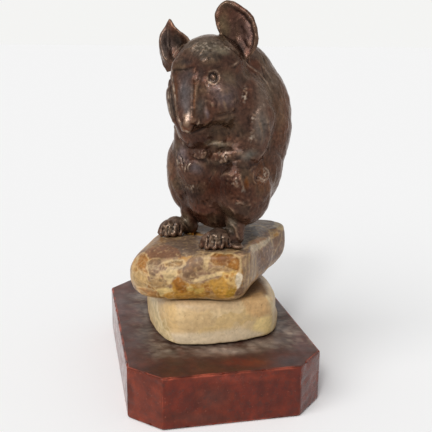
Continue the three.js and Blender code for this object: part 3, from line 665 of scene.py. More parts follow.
footChasing = {
    "leftToeA": ([(208.4, 233), (207.6, 239), (208, 244), (207, 248)], 0.7, -0.8),
    "leftToeB": ([(214, 235), (214.4, 242), (213, 249)], 0.7, -0.7),
    "leftToeC": ([(222, 233), (221.6, 240), (222, 248)], 0.7, -0.7),
    "leftToeD": ([(228.6, 238), (229.6, 243), (229.4, 247)], 0.8, -0.8),
    "leftCreaseA": ([(216, 238.6), (219.6, 237.4)], 0.5, -0.4),
    "leftCreaseB": ([(217.4, 243.6), (220.6, 242)], 0.5, 0.4),
    "leftAnkleLine": ([(230, 221.6), (235.4, 228), (237, 236), (240, 241)], 0.8, 0.4),
    "leftAnkleHollow": ([(227, 228), (230.6, 225.6)], 1.2, -0.3),
    "rightToeA": ([(162.4, 226.6), (161.6, 231), (163, 236)], 0.6, -0.6),
    "rightToeB": ([(168.2, 225), (167.6, 230), (168, 235.6)], 0.6, -0.6),
    "rightToeC": ([(175, 223), (172.8, 228), (172.6, 234)], 0.6, -0.7),
    "rightToeD": ([(180, 224), (180.6, 229), (180, 233.4)], 0.8, -0.8),
    "rightAnkleLine": ([(182, 221), (186, 227), (187.4, 231)], 0.7, 0.5),
}

chasing = {**headChasing, **armChasing, **bodyChasing, **earChasing, **footChasing}

tooling = {                # the marks of the tool all over, each one drawn down the body
    "seed": 7,
    "marks": 420,
    "heights": (9, 80),
    "length": (3, 9),
    "width": (0.7, 1.5),
    "height": 0.2,
    "most": 1.6,              # times the height
    "sway": 0.35,             # spread of the marks' slant across the body
    "slant": (0.25, 0.3),     # their slant backwards and its spread
    "bow": 0.5,
    "lumps": ((7, 0.3), (3, 0.17), (1.4, 0.09)),     # size and height
}

scribbleWork = {
    "seed": 17,
    "bend": 0.7,
    "steps": 3,
    "raised": 0.6,            # the share that stands up, while the rest cuts in
    "thickness": (0.8, 1.4),
    "strength": (0.6, 1.2),
}

scribbles = {              # centre, reach, count and lengths in photograph pixels, then width and height
    "cheekSparkle": ((246, 95), (3.6, 11), 9, (3, 6), 0.34, 0.17),
    "ruffSparkle": ((252.6, 119), (4, 6), 8, (3, 5), 0.34, 0.15),
    "ruffSparkleLow": ((251.6, 139), (4, 6), 9, (3, 5), 0.34, 0.15),
    "underKnee": ((193, 186.6), (9, 5), 22, (3, 7), 0.38, 0.23),
    "rightArm": ((181, 161), (6, 11), 16, (4, 9), 0.38, 0.17),
    "thigh": ((232, 181), (9, 7), 12, (3, 6), 0.36, 0.12),
    "flank": ((262, 176), (9, 9), 22, (3, 8), 0.38, 0.2),
    "belly": ((212, 190), (24, 20), 22, (4, 10), 0.6, 0.12),
    "bellyLow": ((208, 212), (18, 10), 18, (4, 8), 0.68, 0.12),
    "lowerThigh": ((254, 198), (14, 12), 22, (4, 9), 0.59, 0.15),
    "paws": ((214, 155), (19, 6), 34, (2, 4), 0.36, 0.27),
    "throat": ((222, 130), (24, 10), 16, (4, 9), 0.68, 0.11),
    "crown": ((206, 47), (30, 14), 34, (4, 10), 0.68, 0.14),
    "earBase": ((227, 46), (7, 5), 10, (3, 5), 0.38, 0.2),
    "ankle": ((234, 227), (7, 9), 12, (3, 7), 0.42, 0.17),
    "leftFoot": ((216, 240), (15, 9), 26, (3, 6), 0.42, 0.2),
    "rightFoot": ((170, 228), (12, 8), 22, (3, 6), 0.42, 0.2),
    "backEdge": ((282, 120), (7, 40), 22, (5, 12), 0.59, 0.12),
    "plate": ((184, 92), (8, 22), 14, (5, 12), 0.68, 0.07),
}


def chaseEyes(clay):
    x, y = eyeChasing["centre"]
    outward = Vector(eyeChasing["rightFacing"]).normalized()
    across = outward.cross(Vector((0, 0, 1))).normalized()
    upward = across.cross(outward)
    turns = np.linspace(0, 2 * math.pi, 17)
    for part in ("moat", "lid"):
        reach, width, height = eyeChasing[part]
        ring = [(x + reach * math.cos(turn), y + reach * math.sin(turn)) for turn in turns]
        stroke(clay, ring, width, height, taper=0)
        reach = reach / eyeChasing["pixelsPerMillimetre"]
        ring = [eyeChasing["rightPlace"] + (across * math.cos(turn) + upward * math.sin(turn)) * reach
                for turn in turns]
        stroke(clay, ring, width, height, place=headPlace, taper=0)
    middle = [eyeChasing["rightPlace"] + across * step for step in (-0.3, 0, 0.3)]
    stroke(clay, middle, *eyeChasing["ball"], place=headPlace, taper=0)


def scribble(clay):
    rng = np.random.default_rng(scribbleWork["seed"])
    steps = scribbleWork["steps"]
    for centre, reach, count, lengths, width, height in scribbles.values():
        for _ in range(count):
            turn, out = rng.uniform(0, 2 * math.pi), math.sqrt(rng.uniform(0, 1))
            x = centre[0] + reach[0] * out * math.cos(turn)
            y = centre[1] + reach[1] * out * math.sin(turn)
            heading, bend = rng.uniform(0, math.pi), rng.normal(0, scribbleWork["bend"])
            length = rng.uniform(*lengths)
            path = [(x, y)]
            for step in range(steps):
                x += length / steps * math.cos(heading + bend * step)
                y += length / steps * math.sin(heading + bend * step)
                path.append((x, y))
            side = 1 if rng.uniform() < scribbleWork["raised"] else -1
            thick = width * rng.uniform(*scribbleWork["thickness"])
            high = side * height * rng.uniform(*scribbleWork["strength"])
            stroke(clay, path, thick, high, taper=0.4)


def toolMarks(clay):
    rng = np.random.default_rng(tooling["seed"])
    back = mousePlace.inverted()
    for _ in range(tooling["marks"]):
        start = Vector(clay["co"][rng.integers(len(clay["co"]))])
        length, width = rng.uniform(*tooling["length"]), rng.uniform(*tooling["width"])
        height = rng.normal()
        local = back @ start
        if not tooling["heights"][0] <= local.z <= tooling["heights"][1]:
            continue
        slant, spread = tooling["slant"]
        drift = Vector((rng.normal(0, tooling["sway"]), slant + rng.normal(0, spread), -1)).normalized()
        path = [local + drift * length * share
                + Vector((tooling["bow"] * math.sin(4 * share + height), 0, 0))
                for share in (0, 0.25, 0.5, 0.75, 1)]
        height = tooling["height"] * max(min(height, tooling["most"]), -tooling["most"])
        stroke(clay, path, width, height, place=mousePlace, taper=0.45)


clay = {"co": readPoints(whole), "normals": readNormals(whole), "tree": treeOf(whole)}
clay["lift"] = sum(height * lumps(clay["co"], size, seed)
                   for seed, (size, height) in enumerate(tooling["lumps"]))
toolMarks(clay)
for path, width, height in chasing.values():
    stroke(clay, path, width, height)
chaseEyes(clay)
scribble(clay)
smoothNormals = averaged(clay["normals"], readEdges(whole), 2)
writePoints(whole, clay["co"] + smoothNormals * clay["lift"][:, None])
relax(whole, 1)
rightEyeAt = clay["tree"].find_nearest(headPlace @ eyeChasing["rightPlace"])[0]
print("chasing done")


# Colour on the surface: tones laid over one another, by noise all round and by zone on the side in view

def tone(red, green, blue):
    shares = [v / 255 for v in (red, green, blue)]
    return np.array([v / 12.92 if v < 0.0404 else ((v + 0.055) / 1.055) ** 2.4 for v in shares])


def lay(colours, colour, share):
    return colours + (np.asarray(colour) - colours) * np.clip(share, 0, 1)[:, None]


def seenFrom(co, normals, tree):
    x, y = pixelsOf(co)
    ways = np.array(cameraAt) - co
    distance = np.linalg.norm(ways, axis=1)
    facing = np.einsum('ij,ij->i', normals, ways) / distance
    seen = fade(facing, 0.02, 0.25)
    for i in np.where(seen > 0)[0]:
        start = Vector(co[i]) + Vector(normals[i]) * 0.15
        if tree.ray_cast(start, cameraAt - start, distance[i])[0] is not None:
            seen[i] = 0
    return x, y, seen


def pathDistance(x, y, path):
    best = np.full(len(x), 1e9)
    for (ax, ay), (bx, by) in zip(path[:-1], path[1:]):
        spanX, spanY = bx - ax, by - ay
        share = np.clip(((x - ax) * spanX + (y - ay) * spanY) / (spanX ** 2 + spanY ** 2), 0, 1)
        best = np.minimum(best, np.hypot(x - ax - share * spanX, y - ay - share * spanY))
    return best


patina = {
    "base": tone(82, 56, 44),
    "red": tone(88, 50, 34),
    "olive": tone(86, 71, 54),
    "deep": tone(52, 34, 28),
    # ridges and raised marks: wear, and a painted highlight
    "wornAndHighlight": tone(140, 112, 90),
    "shade": tone(28, 17, 13),
    # laid on upward faces: dust, and a painted sheen of the light from above
    "dust": tone(122, 110, 98),
    # bright lines and flecks: rubbed metal, and painted highlights
    "rubbed": tone(186, 168, 150),
    "depth": 0.9,
    "rounds": (3, 14),        # of smoothing, which find small and wide hollows
}

patinaWashes = {           # lump size, seed, where the lumps begin to show and are full, share
    "red": (9, 11, -0.1, 0.45, 0.7),
    "olive": (7, 12, 0.0, 0.5, 0.6),
    "deep": (5, 13, 0.05, 0.5, 0.55),
}

wornAndHighlitLines = {            # the chased lines brightened by wear and by a painted highlight, and how much
    "plateEdge": 0.6, "eyeLid": 0.2, "cheekLine": 0.7, "nostrilLip": 0.3, "browFold": 0.3, "earFoldA": 0.3,
    "ruffLineA": 0.35, "ruffLineB": 0.3, "upperArmRidge": 0.25, "wristRidge": 0.4, "rightArmEdgeA": 0.6,
    "rightArmEdgeC": 0.4, "rightKneeLight": 0.5, "spotGlint": 0.8, "shinRidge": 0.3, "flankLineA": 0.5,
    "flankLineB": 0.4, "rightRim": 0.15, "rightBase": 0.3,
}

shadedLines = {              # the chased lines darkened with painted shade
    "leftLip": 0.5, "plateTop": 0.6, "plateGroove": 0.35, "mouth": 0.6, "cheekGroove": 0.4,
    "leftLipGroove": 0.4, "whiskerGrooveB": 0.4, "cheekFold": 0.3,
}

sparkles = {               # places full of bright flecks, painted highlights on rubbed metal: centre and reach in photograph pixels, share
    "cheek": ((244.6, 95), (4, 12), 0.85),
    "ruff": ((253, 118), (4.5, 8), 0.6),
    "ruffLow": ((252, 139), (5, 8), 0.7),
    "thigh": ((236, 182), (8, 7), 0.4),
    "spot": ((243, 189), (5, 5), 0.8),
    "flank": ((263, 176), (8, 11), 0.7),
    "rightArm": ((181, 163), (5, 10), 0.8),
    "wrist": ((216, 144.6), (11, 3), 0.6),
    "leftPaw": ((223, 154), (9, 7), 0.5),
    "rightPaw": ((200, 153), (6, 6), 0.35),
    "underKnee": ((192, 187), (9, 4), 0.5),
    "ankle": ((233, 226), (7, 9), 0.5),
    "leftFoot": ((214, 240), (15, 9), 0.5),
    "rightFoot": ((168, 229), (11, 8), 0.5),
    "rightAnkle": ((184, 219), (6, 8), 0.5),
    "crown": ((207, 46), (24, 10), 0.45),
    "earBase": ((228, 47), (9, 7), 0.6),
    "shin": ((240, 203), (5, 3), 0.6),
}

calmZones = {              # where the ridges get neither wear nor painted highlight, and the wax is thin
    "belly": ((212, 192), (40, 34), 0.85),
    "leftEar": ((236, 30), (30, 42), 0.95),
    "rightEar": ((172, 44), (24, 36), 0.9),
    "back": ((278, 110), (22, 66), 0.6),
    "feet": ((190, 236), (50, 18), 0.4),
}

patinaZones = {            # centre and reach in the photograph's pixels, colour, share
    "crown": ((205, 46), (36, 17), (80, 72, 60), 0.85),
    "crownShade": ((208, 57), (20, 5), (46, 39, 35), 0.85),
    "crownDust": ((222, 50), (12, 6), (140, 128, 106), 0.6),
    "browLine": ((218, 66), (20, 5), (58, 40, 32), 0.7),
    "browLeft": ((186, 62), (14, 5), (50, 42, 40), 0.8),
    # the plate: a painted reflection in blue-grey, lighter down the middle, and a painted highlight on the
    # nose ridge
    "plate": ((185, 92), (11, 29), (90, 84, 84), 0.9),
    "plateTopRight": ((189, 74), (8, 10), (70, 62, 60), 0.85),
    "plateMiddle": ((185, 106), (5, 14), (112, 102, 100), 0.7),
    "plateHighlight": ((187.4, 118), (4, 13), (170, 148, 132), 0.9),
    "plateRight": ((194.4, 98), (2.2, 30), (84, 44, 18), 0.9),
    "plateLeft": ((175.4, 95), (2.6, 34), (96, 56, 30), 0.7),
    "nose": ((186, 130), (8, 5), (96, 50, 28), 0.8),
    "betweenEyes": ((200, 75), (8, 14), (66, 52, 46), 0.9),
    "muzzle": ((202, 108), (9, 18), (82, 72, 64), 0.85),
    "whiskerPad": ((207.5, 114), (3, 7), (126, 110, 110), 0.7),
    "eyeRound": ((214, 78), (11, 11), (74, 62, 52), 0.85),
    "cheek": ((224, 96), (20, 17), (92, 79, 78), 0.85),
    "cheekBack": ((243, 84), (12, 16), (78, 56, 46), 0.6),
    "throat": ((222, 130), (30, 14), (92, 74, 56), 0.7),
    "throatShade": ((222, 131), (4, 6), (48, 32, 26), 0.7),
    "ruff": ((262, 92), (12, 30), (108, 90, 78), 0.8),
    "upperArm": ((262, 126), (14, 28), (112, 101, 92), 0.9),
    "elbow": ((249, 155), (17, 9), (102, 97, 88), 0.85),
    "backStrip": ((281, 115), (10, 40), (108, 82, 62), 0.8),
    "backHigh": ((273, 80), (18, 30), (96, 80, 66), 0.75),
    "jowl": ((172, 105), (5, 30), (84, 74, 68), 0.7),
    # painted sheen on the right arm and the right knee
    "rightArm": ((182, 154), (9, 12), (112, 98, 98), 0.85),
    "rightKnee": ((196, 168), (11, 9), (100, 88, 88), 0.85),
    "leftEdge": ((169, 172), (7, 28), (122, 88, 64), 0.7),
    "belly": ((218, 186), (36, 22), (54, 22, 9), 0.94),
    # painted shade below the right knee
    "bellyDark": ((192, 194), (20, 13), (38, 20, 15), 0.85),
    "bellyLow": ((205, 212), (20, 12), (76, 40, 28), 0.8),
    "thigh": ((262, 176), (17, 26), (108, 64, 36), 0.8),
    "amberSpot": ((246.5, 184), (4.6, 10), (112, 62, 18), 0.9),
    # painted shade under the paws and under the arm
    "underPaws": ((222, 168), (30, 6), (42, 18, 8), 0.85),
    "underArm": ((248, 168), (13, 4), (50, 28, 18), 0.7),
    "wristDust": ((218, 145), (20, 5), (136, 120, 98), 0.8),
    "paws": ((214, 155), (20, 8), (84, 50, 36), 0.85),
    # painted shade on the lap, under the arm
    "lapShade": ((235, 167), (7, 8), (42, 18, 8), 0.95),
    "handTop": ((224, 151.4), (12, 3), (60, 34, 24), 0.9),
    "rightFoot": ((169, 229), (14, 11), (80, 68, 54), 0.85),
    "rightAnkle": ((184, 219), (8, 9), (128, 114, 92), 0.8),
    "leftFoot": ((215, 240), (20, 12), (76, 65, 51), 0.85),
    "leftAnkle": ((232, 226), (10, 12), (106, 95, 80), 0.85),
    "leftEar": ((240, 30), (24, 38), (82, 60, 53), 0.9),
    "leftEarFront": ((224, 26), (9, 24), (104, 86, 64), 0.8),
    # painted shade in the left ear's hollows, and a painted highlight on its fold
    "leftEarValley": ((237, 36), (6, 28), (72, 52, 38), 0.6),
    "leftEarDeep": ((241.5, 48), (4.6, 12), (38, 26, 21), 0.85),
    "leftEarLight": ((248, 32), (4, 20), (104, 82, 78), 0.5),
    "eyeDark": ((213, 77), (4.6, 5.8), (40, 24, 18), 0.85),
    "eyeLight": ((214.6, 77.6), (2, 3), (120, 74, 50), 0.8),
    "lowerLid": ((211.4, 83.6), (4.4, 1.5), (150, 128, 104), 0.6),
    "heelLump": ((239, 245), (6, 5), (58, 42, 34), 0.9),
    "rightEar": ((165, 44), (11, 32), (92, 80, 75), 0.9),
    # painted shade in the right ear's hollow
    "rightEarHollow": ((177, 42), (11, 16), (60, 50, 44), 0.9),
}


def paintPatina(mesh, lift):
    co, normals, edges = readPoints(mesh), readNormals(mesh), readEdges(mesh)
    near, wide = (np.einsum('ij,ij->i', averaged(co, edges, rounds) - co, normals)
                  for rounds in patina["rounds"])
    hollow = fade(near, 0.0, 0.07) * 0.6 + fade(wide, 0.02, 0.4) * 0.6
    x, y, seen = seenFrom(co, normals, treeOf(mesh))
    calm = np.max([zone(x, y, centre, reach) * seen * share
                   for centre, reach, share in calmZones.values()], axis=0)
    ridge = fade(-near, 0.01, 0.09) * (1 - calm)
    colours = np.tile(patina["base"], (len(co), 1))
    for name, (size, seed, start, full, share) in patinaWashes.items():
        colours = lay(colours, patina[name], fade(lumps(co, size, seed), start, full) * share)
    # upward faces lightened: dust, and a painted sheen of the light from above
    colours = lay(colours, patina["dust"], fade(normals[:, 2], 0.3, 0.95) * (0.35 + 0.5 * lumps(co, 5, 17)))
    wander = 3 * lumps(co, 4, 14)
    for centre, reach, colour, share in patinaZones.values():
        colours = lay(colours, tone(*colour), zone(x + wander, y + wander, centre, reach) * seen * share)
    # ridges and raised marks lightened: wear, and a painted highlight
    colours = lay(colours, patina["wornAndHighlight"], ridge * 0.5 + fade(lift, 0.2, 0.7) * 0.25)
    colours = lay(colours, patina["shade"], hollow * 0.75 + fade(-lift, 0.15, 0.7) * 0.3)
    fromEye = np.linalg.norm(co - np.array(rightEyeAt), axis=1)
    colours = lay(colours, patina["shade"], (1 - fade(fromEye, 0.9, 1.8)) * 0.6)
    broken = fade(lumps(co, 1.6, 18), -0.25, 0.35)
    # bright lines: wear and a painted highlight; dark lines: painted shade
    for lines, colour, full, gone, cover in ((wornAndHighlitLines, "rubbed", 0.0, 1.0, broken),
                                             (shadedLines, "shade", 0.2, 1.5, 1)):
        for name, share in lines.items():
            away = pathDistance(x, y, chasing[name][0])
            colours = lay(colours, patina[colour], (1 - fade(away, full, gone)) * cover * seen * share)
    # bright flecks in these places: painted highlights on rubbed metal
    flecks = fade(lumps(co, 0.75, 19) + 0.5 * lumps(co, 1.8, 20), 0.12, 0.4)
    for centre, reach, share in sparkles.values():
        colours = lay(colours, patina["rubbed"], zone(x, y, centre, reach) * flecks * seen * share)
    mottle = lumps(co, 1.3, 15) * 0.3 + lumps(co, 3.4, 16) * 0.25
    colours = np.clip(colours * (patina["depth"] + mottle)[:, None], 0.003, 1)
    return colours, 1 - calm


# The castings: the skin is parted along the joints, and each part is closed inside

castings = ["mouse_body", "mouse_head", "left_ear", "right_ear", "left_foreleg", "right_foreleg",
            "left_hind_foot", "right_hind_foot", "tail"]
parting = {
    "rounds": 12,             # of voting, that straighten the seams
    "wall": 0.8,
}


def castingOfFaces(mesh):
    points, triangles, owner = [], [], []
    for index, name in enumerate(castings):
        bm = bmesh.new()
        bm.from_mesh(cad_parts[name].data)
        start = len(points)
        points += [v.co / mm for v in bm.verts]
        triangles += [[start + v.index for v in face.verts] for face in bm.faces]
        owner += [index] * len(bm.faces)
        bm.free()
    tree = BVHTree.FromPolygons(points, triangles)
    return np.array([owner[tree.find_nearest(face.center)[2]] for face in mesh.polygons])


def faceNeighbours(mesh):
    edgeOfLoop = np.empty(len(mesh.loops), dtype=np.int64)
    mesh.loops.foreach_get("edge_index", edgeOfLoop)
    totals = np.empty(len(mesh.polygons), dtype=np.int64)
    mesh.polygons.foreach_get("loop_total", totals)
    faceOfLoop = np.repeat(np.arange(len(mesh.polygons)), totals)
    order = np.argsort(edgeOfLoop, kind='stable')
    faces, edges = faceOfLoop[order], edgeOfLoop[order]
    paired = np.where(edges[1:] == edges[:-1])[0]
    return np.stack([faces[paired], faces[paired + 1]], axis=1)


def settled(labels, neighbours, times):
    for _ in range(times):
        votes = np.stack([np.bincount(neighbours[:, 0], labels[neighbours[:, 1]] == label, len(labels))
                          + np.bincount(neighbours[:, 1], labels[neighbours[:, 0]] == label, len(labels))
                          + 0.5 * (labels == label)
                          for label in range(len(castings))])
        labels = votes.argmax(0)
    return labels


def largestPatches(labels, neighbours):
    patch = np.arange(len(labels))
    same = neighbours[labels[neighbours[:, 0]] == labels[neighbours[:, 1]]]
    while True:
        lowest = patch.copy()
        np.minimum.at(lowest, same[:, 0], patch[same[:, 1]])
        np.minimum.at(lowest, same[:, 1], patch[same[:, 0]])
        lowest = lowest[lowest]
        if np.array_equal(lowest, patch):
            break
        patch = lowest
    for label in range(len(castings)):
        names, sizes = np.unique(patch[labels == label], return_counts=True)
        for name in names[sizes < sizes.max()]:
            stray = patch == name
            edge = neighbours[stray[neighbours[:, 0]] != stray[neighbours[:, 1]]]
            outside = labels[np.where(stray[edge[:, 0]], edge[:, 1], edge[:, 0])]
            if len(outside):
                labels[stray] = np.bincount(outside).argmax()
    return labels


def setColours(mesh, colours, gloss=1):
    layer = mesh.color_attributes.new("tone", 'FLOAT_COLOR', 'POINT')
    values = np.c_[colours, np.broadcast_to(gloss, len(colours))]
    layer.data.foreach_set("color", values.astype(np.float32).ravel())


def makeCasting(source, labels, index):
    bm = source.copy()
    bm.faces.ensure_lookup_table()
    others = [face for face in bm.faces if labels[face.index] != index]
    bmesh.ops.delete(bm, geom=others, context='FACES')
    inward = bm.verts.layers.float_vector["skinNormal"]
    rim = [edge for edge in bm.edges if edge.is_boundary]
    wall = bmesh.ops.extrude_edge_only(bm, edges=rim)["geom"]
    for vertex in wall:
        if isinstance(vertex, bmesh.types.BMVert):
            vertex.co -= vertex[inward] * parting["wall"]
    bmesh.ops.holes_fill(bm, edges=[edge for edge in bm.edges if edge.is_boundary], sides=0)
    bmesh.ops.triangulate(bm, faces=[face for face in bm.faces if len(face.verts) > 4])
    bmesh.ops.recalc_face_normals(bm, faces=bm.faces)
    name = castings[index]
    mesh = meshFrom(bm, name + "_bronze")
    normals = np.empty(len(mesh.vertices) * 3, dtype=np.float32)
    mesh.attributes["skinNormal"].data.foreach_get("vector", normals)
    mesh.attributes.remove(mesh.attributes["skinNormal"])
    casting = finishPiece(mesh, name + "_bronze", name)
    mesh.normals_split_custom_set_from_vertices(normals.reshape(-1, 3).tolist())
    return casting


skinNormal = whole.attributes.new("skinNormal", 'FLOAT_VECTOR', 'POINT')
skinNormal.data.foreach_set("vector", readNormals(whole).astype(np.float32).ravel())
setColours(whole, *paintPatina(whole, clay["lift"]))
labels = castingOfFaces(whole)
neighbours = faceNeighbours(whole)
labels = largestPatches(settled(labels, neighbours, parting["rounds"]), neighbours)
skin = bmesh.new()
skin.from_mesh(whole)
bronzes = [makeCasting(skin, labels, index) for index in range(len(castings))]
skin.free()
print("castings:", {bronze.name: len(bronze.data.polygons) for bronze in bronzes})


# The rocks: the CAD forms with their facets eased, chipped edges and a water-worn surface

rocks = {
    "upper_rock": {
        "slot": "golden_onyx", "seed": 21, "cellSize": 7.5, "outline": 0.4, "soft": 0.7, "grain": 1,
        "tip": 1.2, "waves": 0.35, "pits": 0.08, "chips": 0.7, "foot": 0, "squareness": 0,
        "top": tone(110, 90, 77), "vein": tone(204, 178, 134), "cast": (0.91, 0.84, 0.75),
        "tones": [tone(146, 116, 92), tone(158, 116, 58), tone(134, 104, 82), tone(170, 126, 62),
                  tone(156, 128, 98)],
    },
    "lower_rock": {
        "slot": "pale_onyx", "seed": 22, "cellSize": 14, "outline": 0.15, "soft": 2.6, "grain": 0.45,
        "tip": 0, "waves": 0.3, "pits": 0.06, "chips": 0.35, "foot": 1.1, "squareness": 0.6,
        "top": tone(168, 144, 108), "vein": tone(218, 202, 164), "cast": (0.98, 0.92, 0.86),
        "tones": [tone(202, 177, 134), tone(206, 183, 143), tone(196, 170, 127), tone(200, 174, 126)],
    },
}

rockWork = {
    "voxel": 0.42,
    "relax": 4,
    "footHeight": 7,          # of the lowest part, which stands out and square
    "tipReach": (16, 1),      # back from the far corner
}

tipWay = np.array([0.86, 0.51])      # towards the upper rock's far corner, which reaches out a little

upperRockCells = {         # outline in the photograph's pixels, colour, how strong its pale rim is
    "topBrown": ([(146, 250), (165, 245), (180, 249), (181, 257), (160, 259), (146, 258)], (116, 80, 58),
                 0),
    "topGrey": ([(166, 243), (196, 235), (204, 245), (196, 256), (182, 256), (178, 248)], (108, 91, 80),
                0),
    "topDark": ([(238, 228), (262, 225), (256, 239), (243, 247), (235, 247)], (78, 60, 49), 0),
    "topAmber": ([(249, 243), (257, 237), (267, 239), (259, 244), (252, 246)], (158, 108, 54), 0.3),
    "topCream": ([(250, 246), (262, 241), (270, 238), (268, 243), (258, 250), (252, 255)],
                 (200, 184, 160), 0),
    "topFar": ([(256, 227), (268, 226), (272, 236), (262, 237)], (126, 96, 76), 0.4),
    "corner": ([(275, 221), (285, 221), (285, 230), (279, 231), (273, 226)], (188, 168, 130), 0),
    "sideMauve": ([(256, 258), (262, 247), (272, 240), (286, 229), (286, 246), (279, 259), (258, 274)],
                  (118, 88, 72), 0.2),
    "sideStriped": ([(243, 256), (256, 252), (259, 271), (252, 285), (243, 297)], (150, 124, 99), 0),
    "sideLow": ([(243, 297), (252, 284), (263, 273), (252, 290)], (178, 150, 116), 0),
    "leftGold": ([(134, 265), (138, 257), (145, 252), (148, 258), (147, 268), (150, 275), (144, 272),
                  (138, 270)], (156, 106, 46), 0.8),
    "leftCream": ([(131, 272), (138, 271), (146, 276), (150, 284), (144, 288), (137, 287), (132, 280)],
                  (186, 156, 106), 0.6),
    "leftFoot": ([(137, 288), (146, 288.5), (158, 290), (158, 298), (148, 297), (140, 293)],
                 (190, 142, 86), 0.9),
    "roundMauve": ([(147, 262), (153, 258), (160, 259), (163, 264), (162, 271), (156, 276), (150, 275),
                    (147, 269)], (126, 98, 72), 0.6),
    "goldBox": ([(164, 262.5), (168, 260.5), (183, 260), (184, 265), (180, 268), (170, 267.5),
                 (165, 266)], (150, 114, 60), 1),
    "creamWeb": ([(161, 273), (166, 268), (179, 269), (177, 276), (172, 281), (168, 286), (164, 280)],
                 (204, 180, 134), 0),
    "webMauve": ([(178, 268), (186, 266), (184, 272), (178, 274)], (146, 112, 72), 0.4),
    "lowMauve": ([(151, 279), (160, 277), (168, 284), (164, 288), (156, 289), (150, 285)], (170, 140, 98),
                 0.6),
    "lowCream": ([(157, 290), (168, 286), (177, 290), (170, 293), (162, 297)], (216, 192, 134), 0),
    "middle": ([(185, 262), (192, 256.5), (202, 256.5), (206, 262), (204, 268), (197, 274), (200, 279),
                (190, 282), (183, 276), (182, 270)], (118, 90, 66), 0.35),
    "middlePale": ([(204, 256), (209, 255), (209, 264), (207, 269), (203, 268)], (186, 160, 118), 0),
    "amber": ([(209, 257), (214, 253.5), (232, 253.5), (240, 258), (241, 266), (239, 271.5), (232, 270),
               (224, 267), (216, 265.5), (210, 263)], (148, 100, 42), 0.9),
    "amberDeep": ([(217, 256.5), (228, 256), (231, 262), (226, 266.5), (218, 263)], (120, 74, 30), 0),
    "lens": ([(205, 270.5), (214, 267), (226, 268.5), (234, 272), (224, 272.5), (212, 272)],
             (160, 130, 94), 0.6),
    "streak": ([(192, 282), (198, 278), (203, 275), (212, 273), (223, 272), (221, 276.5), (210, 278),
                (200, 281)], (206, 182, 138), 0),
    "gold": ([(170, 284), (176, 278), (184, 280), (192, 283.5), (204, 281.5), (222, 277.5), (229, 283),
              (237, 288), (235, 297), (222, 300), (200, 298), (184, 300), (170, 299), (163, 295),
              (173, 291)], (184, 138, 60), 0.35),
    "goldAmber": ([(172, 281), (178, 277), (184, 281), (187, 290), (182, 294), (176, 289)],
                  (148, 96, 33), 0),
    "goldBrown": ([(204, 285), (212, 284), (214, 294), (206, 296)], (150, 104, 48), 0),
    "goldBright": ([(210, 280), (226, 282), (228, 290), (215, 292), (209, 287)], (190, 146, 66), 0),
    "goldOlive": ([(228, 288), (236, 286), (235, 296), (226, 297)], (166, 130, 46), 0),
    "goldSpotA": ([(186, 287), (192, 286), (193, 290), (187, 290.5)], (208, 178, 106), 0),
    "goldSpotB": ([(193, 289), (203, 288), (204, 292), (195, 294)], (188, 158, 84), 0),
    "web": ([(223, 274), (234, 271), (238, 274), (237, 287), (229, 285), (224, 279)], (208, 172, 104), 0),
    "webCellA": ([(225, 276), (229, 274.5), (229, 278.5), (226, 279)], (158, 108, 44), 0.4),
    "webCellB": ([(230, 279), (233.5, 279), (233, 283), (230, 283)], (160, 116, 56), 0.4),
    "webCellC": ([(231, 274), (235, 273.5), (235, 277), (231.5, 277)], (176, 128, 60), 0.4),
    "white": ([(236, 276), (241, 272), (243.5, 276), (242, 284), (238, 289), (235.5, 282)],
              (228, 218, 198), 0),
}

upperRockVeins = {         # path in the photograph's pixels, half width in pixels, share
    "frontEdge": ([(200, 251.5), (208, 253), (222, 251.5), (236, 251), (246, 248), (250, 245)],
                  0.6, 0.55),
    "amberEdge": ([(207, 266), (208, 256), (214, 253), (232, 253), (240, 257), (242, 266), (241, 273)],
                  0.9, 0.8),
    "boxEdge": ([(163, 262), (172, 260.6), (183, 260), (186, 264), (180, 268), (170, 267), (163, 274)],
                0.8, 0.8),
    "mauveEdge": ([(149, 260), (146, 268), (150, 276), (158, 277), (164, 270)], 0.7, 0.55),
    "bottomEdge": ([(139, 290), (149, 296), (158, 298), (170, 299), (184, 300), (200, 298), (222, 300),
                    (238, 297)], 0.8, 0.5),
    "leftEdge": ([(139, 257), (134, 264), (131, 272), (132, 281), (139, 291)], 0.9, 0.6),
    "stripeA": ([(246, 255), (246, 268), (245, 290)], 0.5, 0.45),
    "stripeB": ([(249, 253), (249.4, 268), (248, 288)], 0.5, 0.6),
    "stripeC": ([(252.6, 253), (253, 268), (250, 286)], 0.45, 0.6),
    "stripeD": ([(256, 256), (256.5, 268), (254, 281)], 0.4, 0.5),
    "farRim": ([(250, 226), (260, 225.6), (268, 229), (272, 237), (272, 246)], 0.7, 0.6),
    "farEdge": ([(284, 223), (282, 236), (277, 248), (272, 258)], 0.6, 0.35),
}

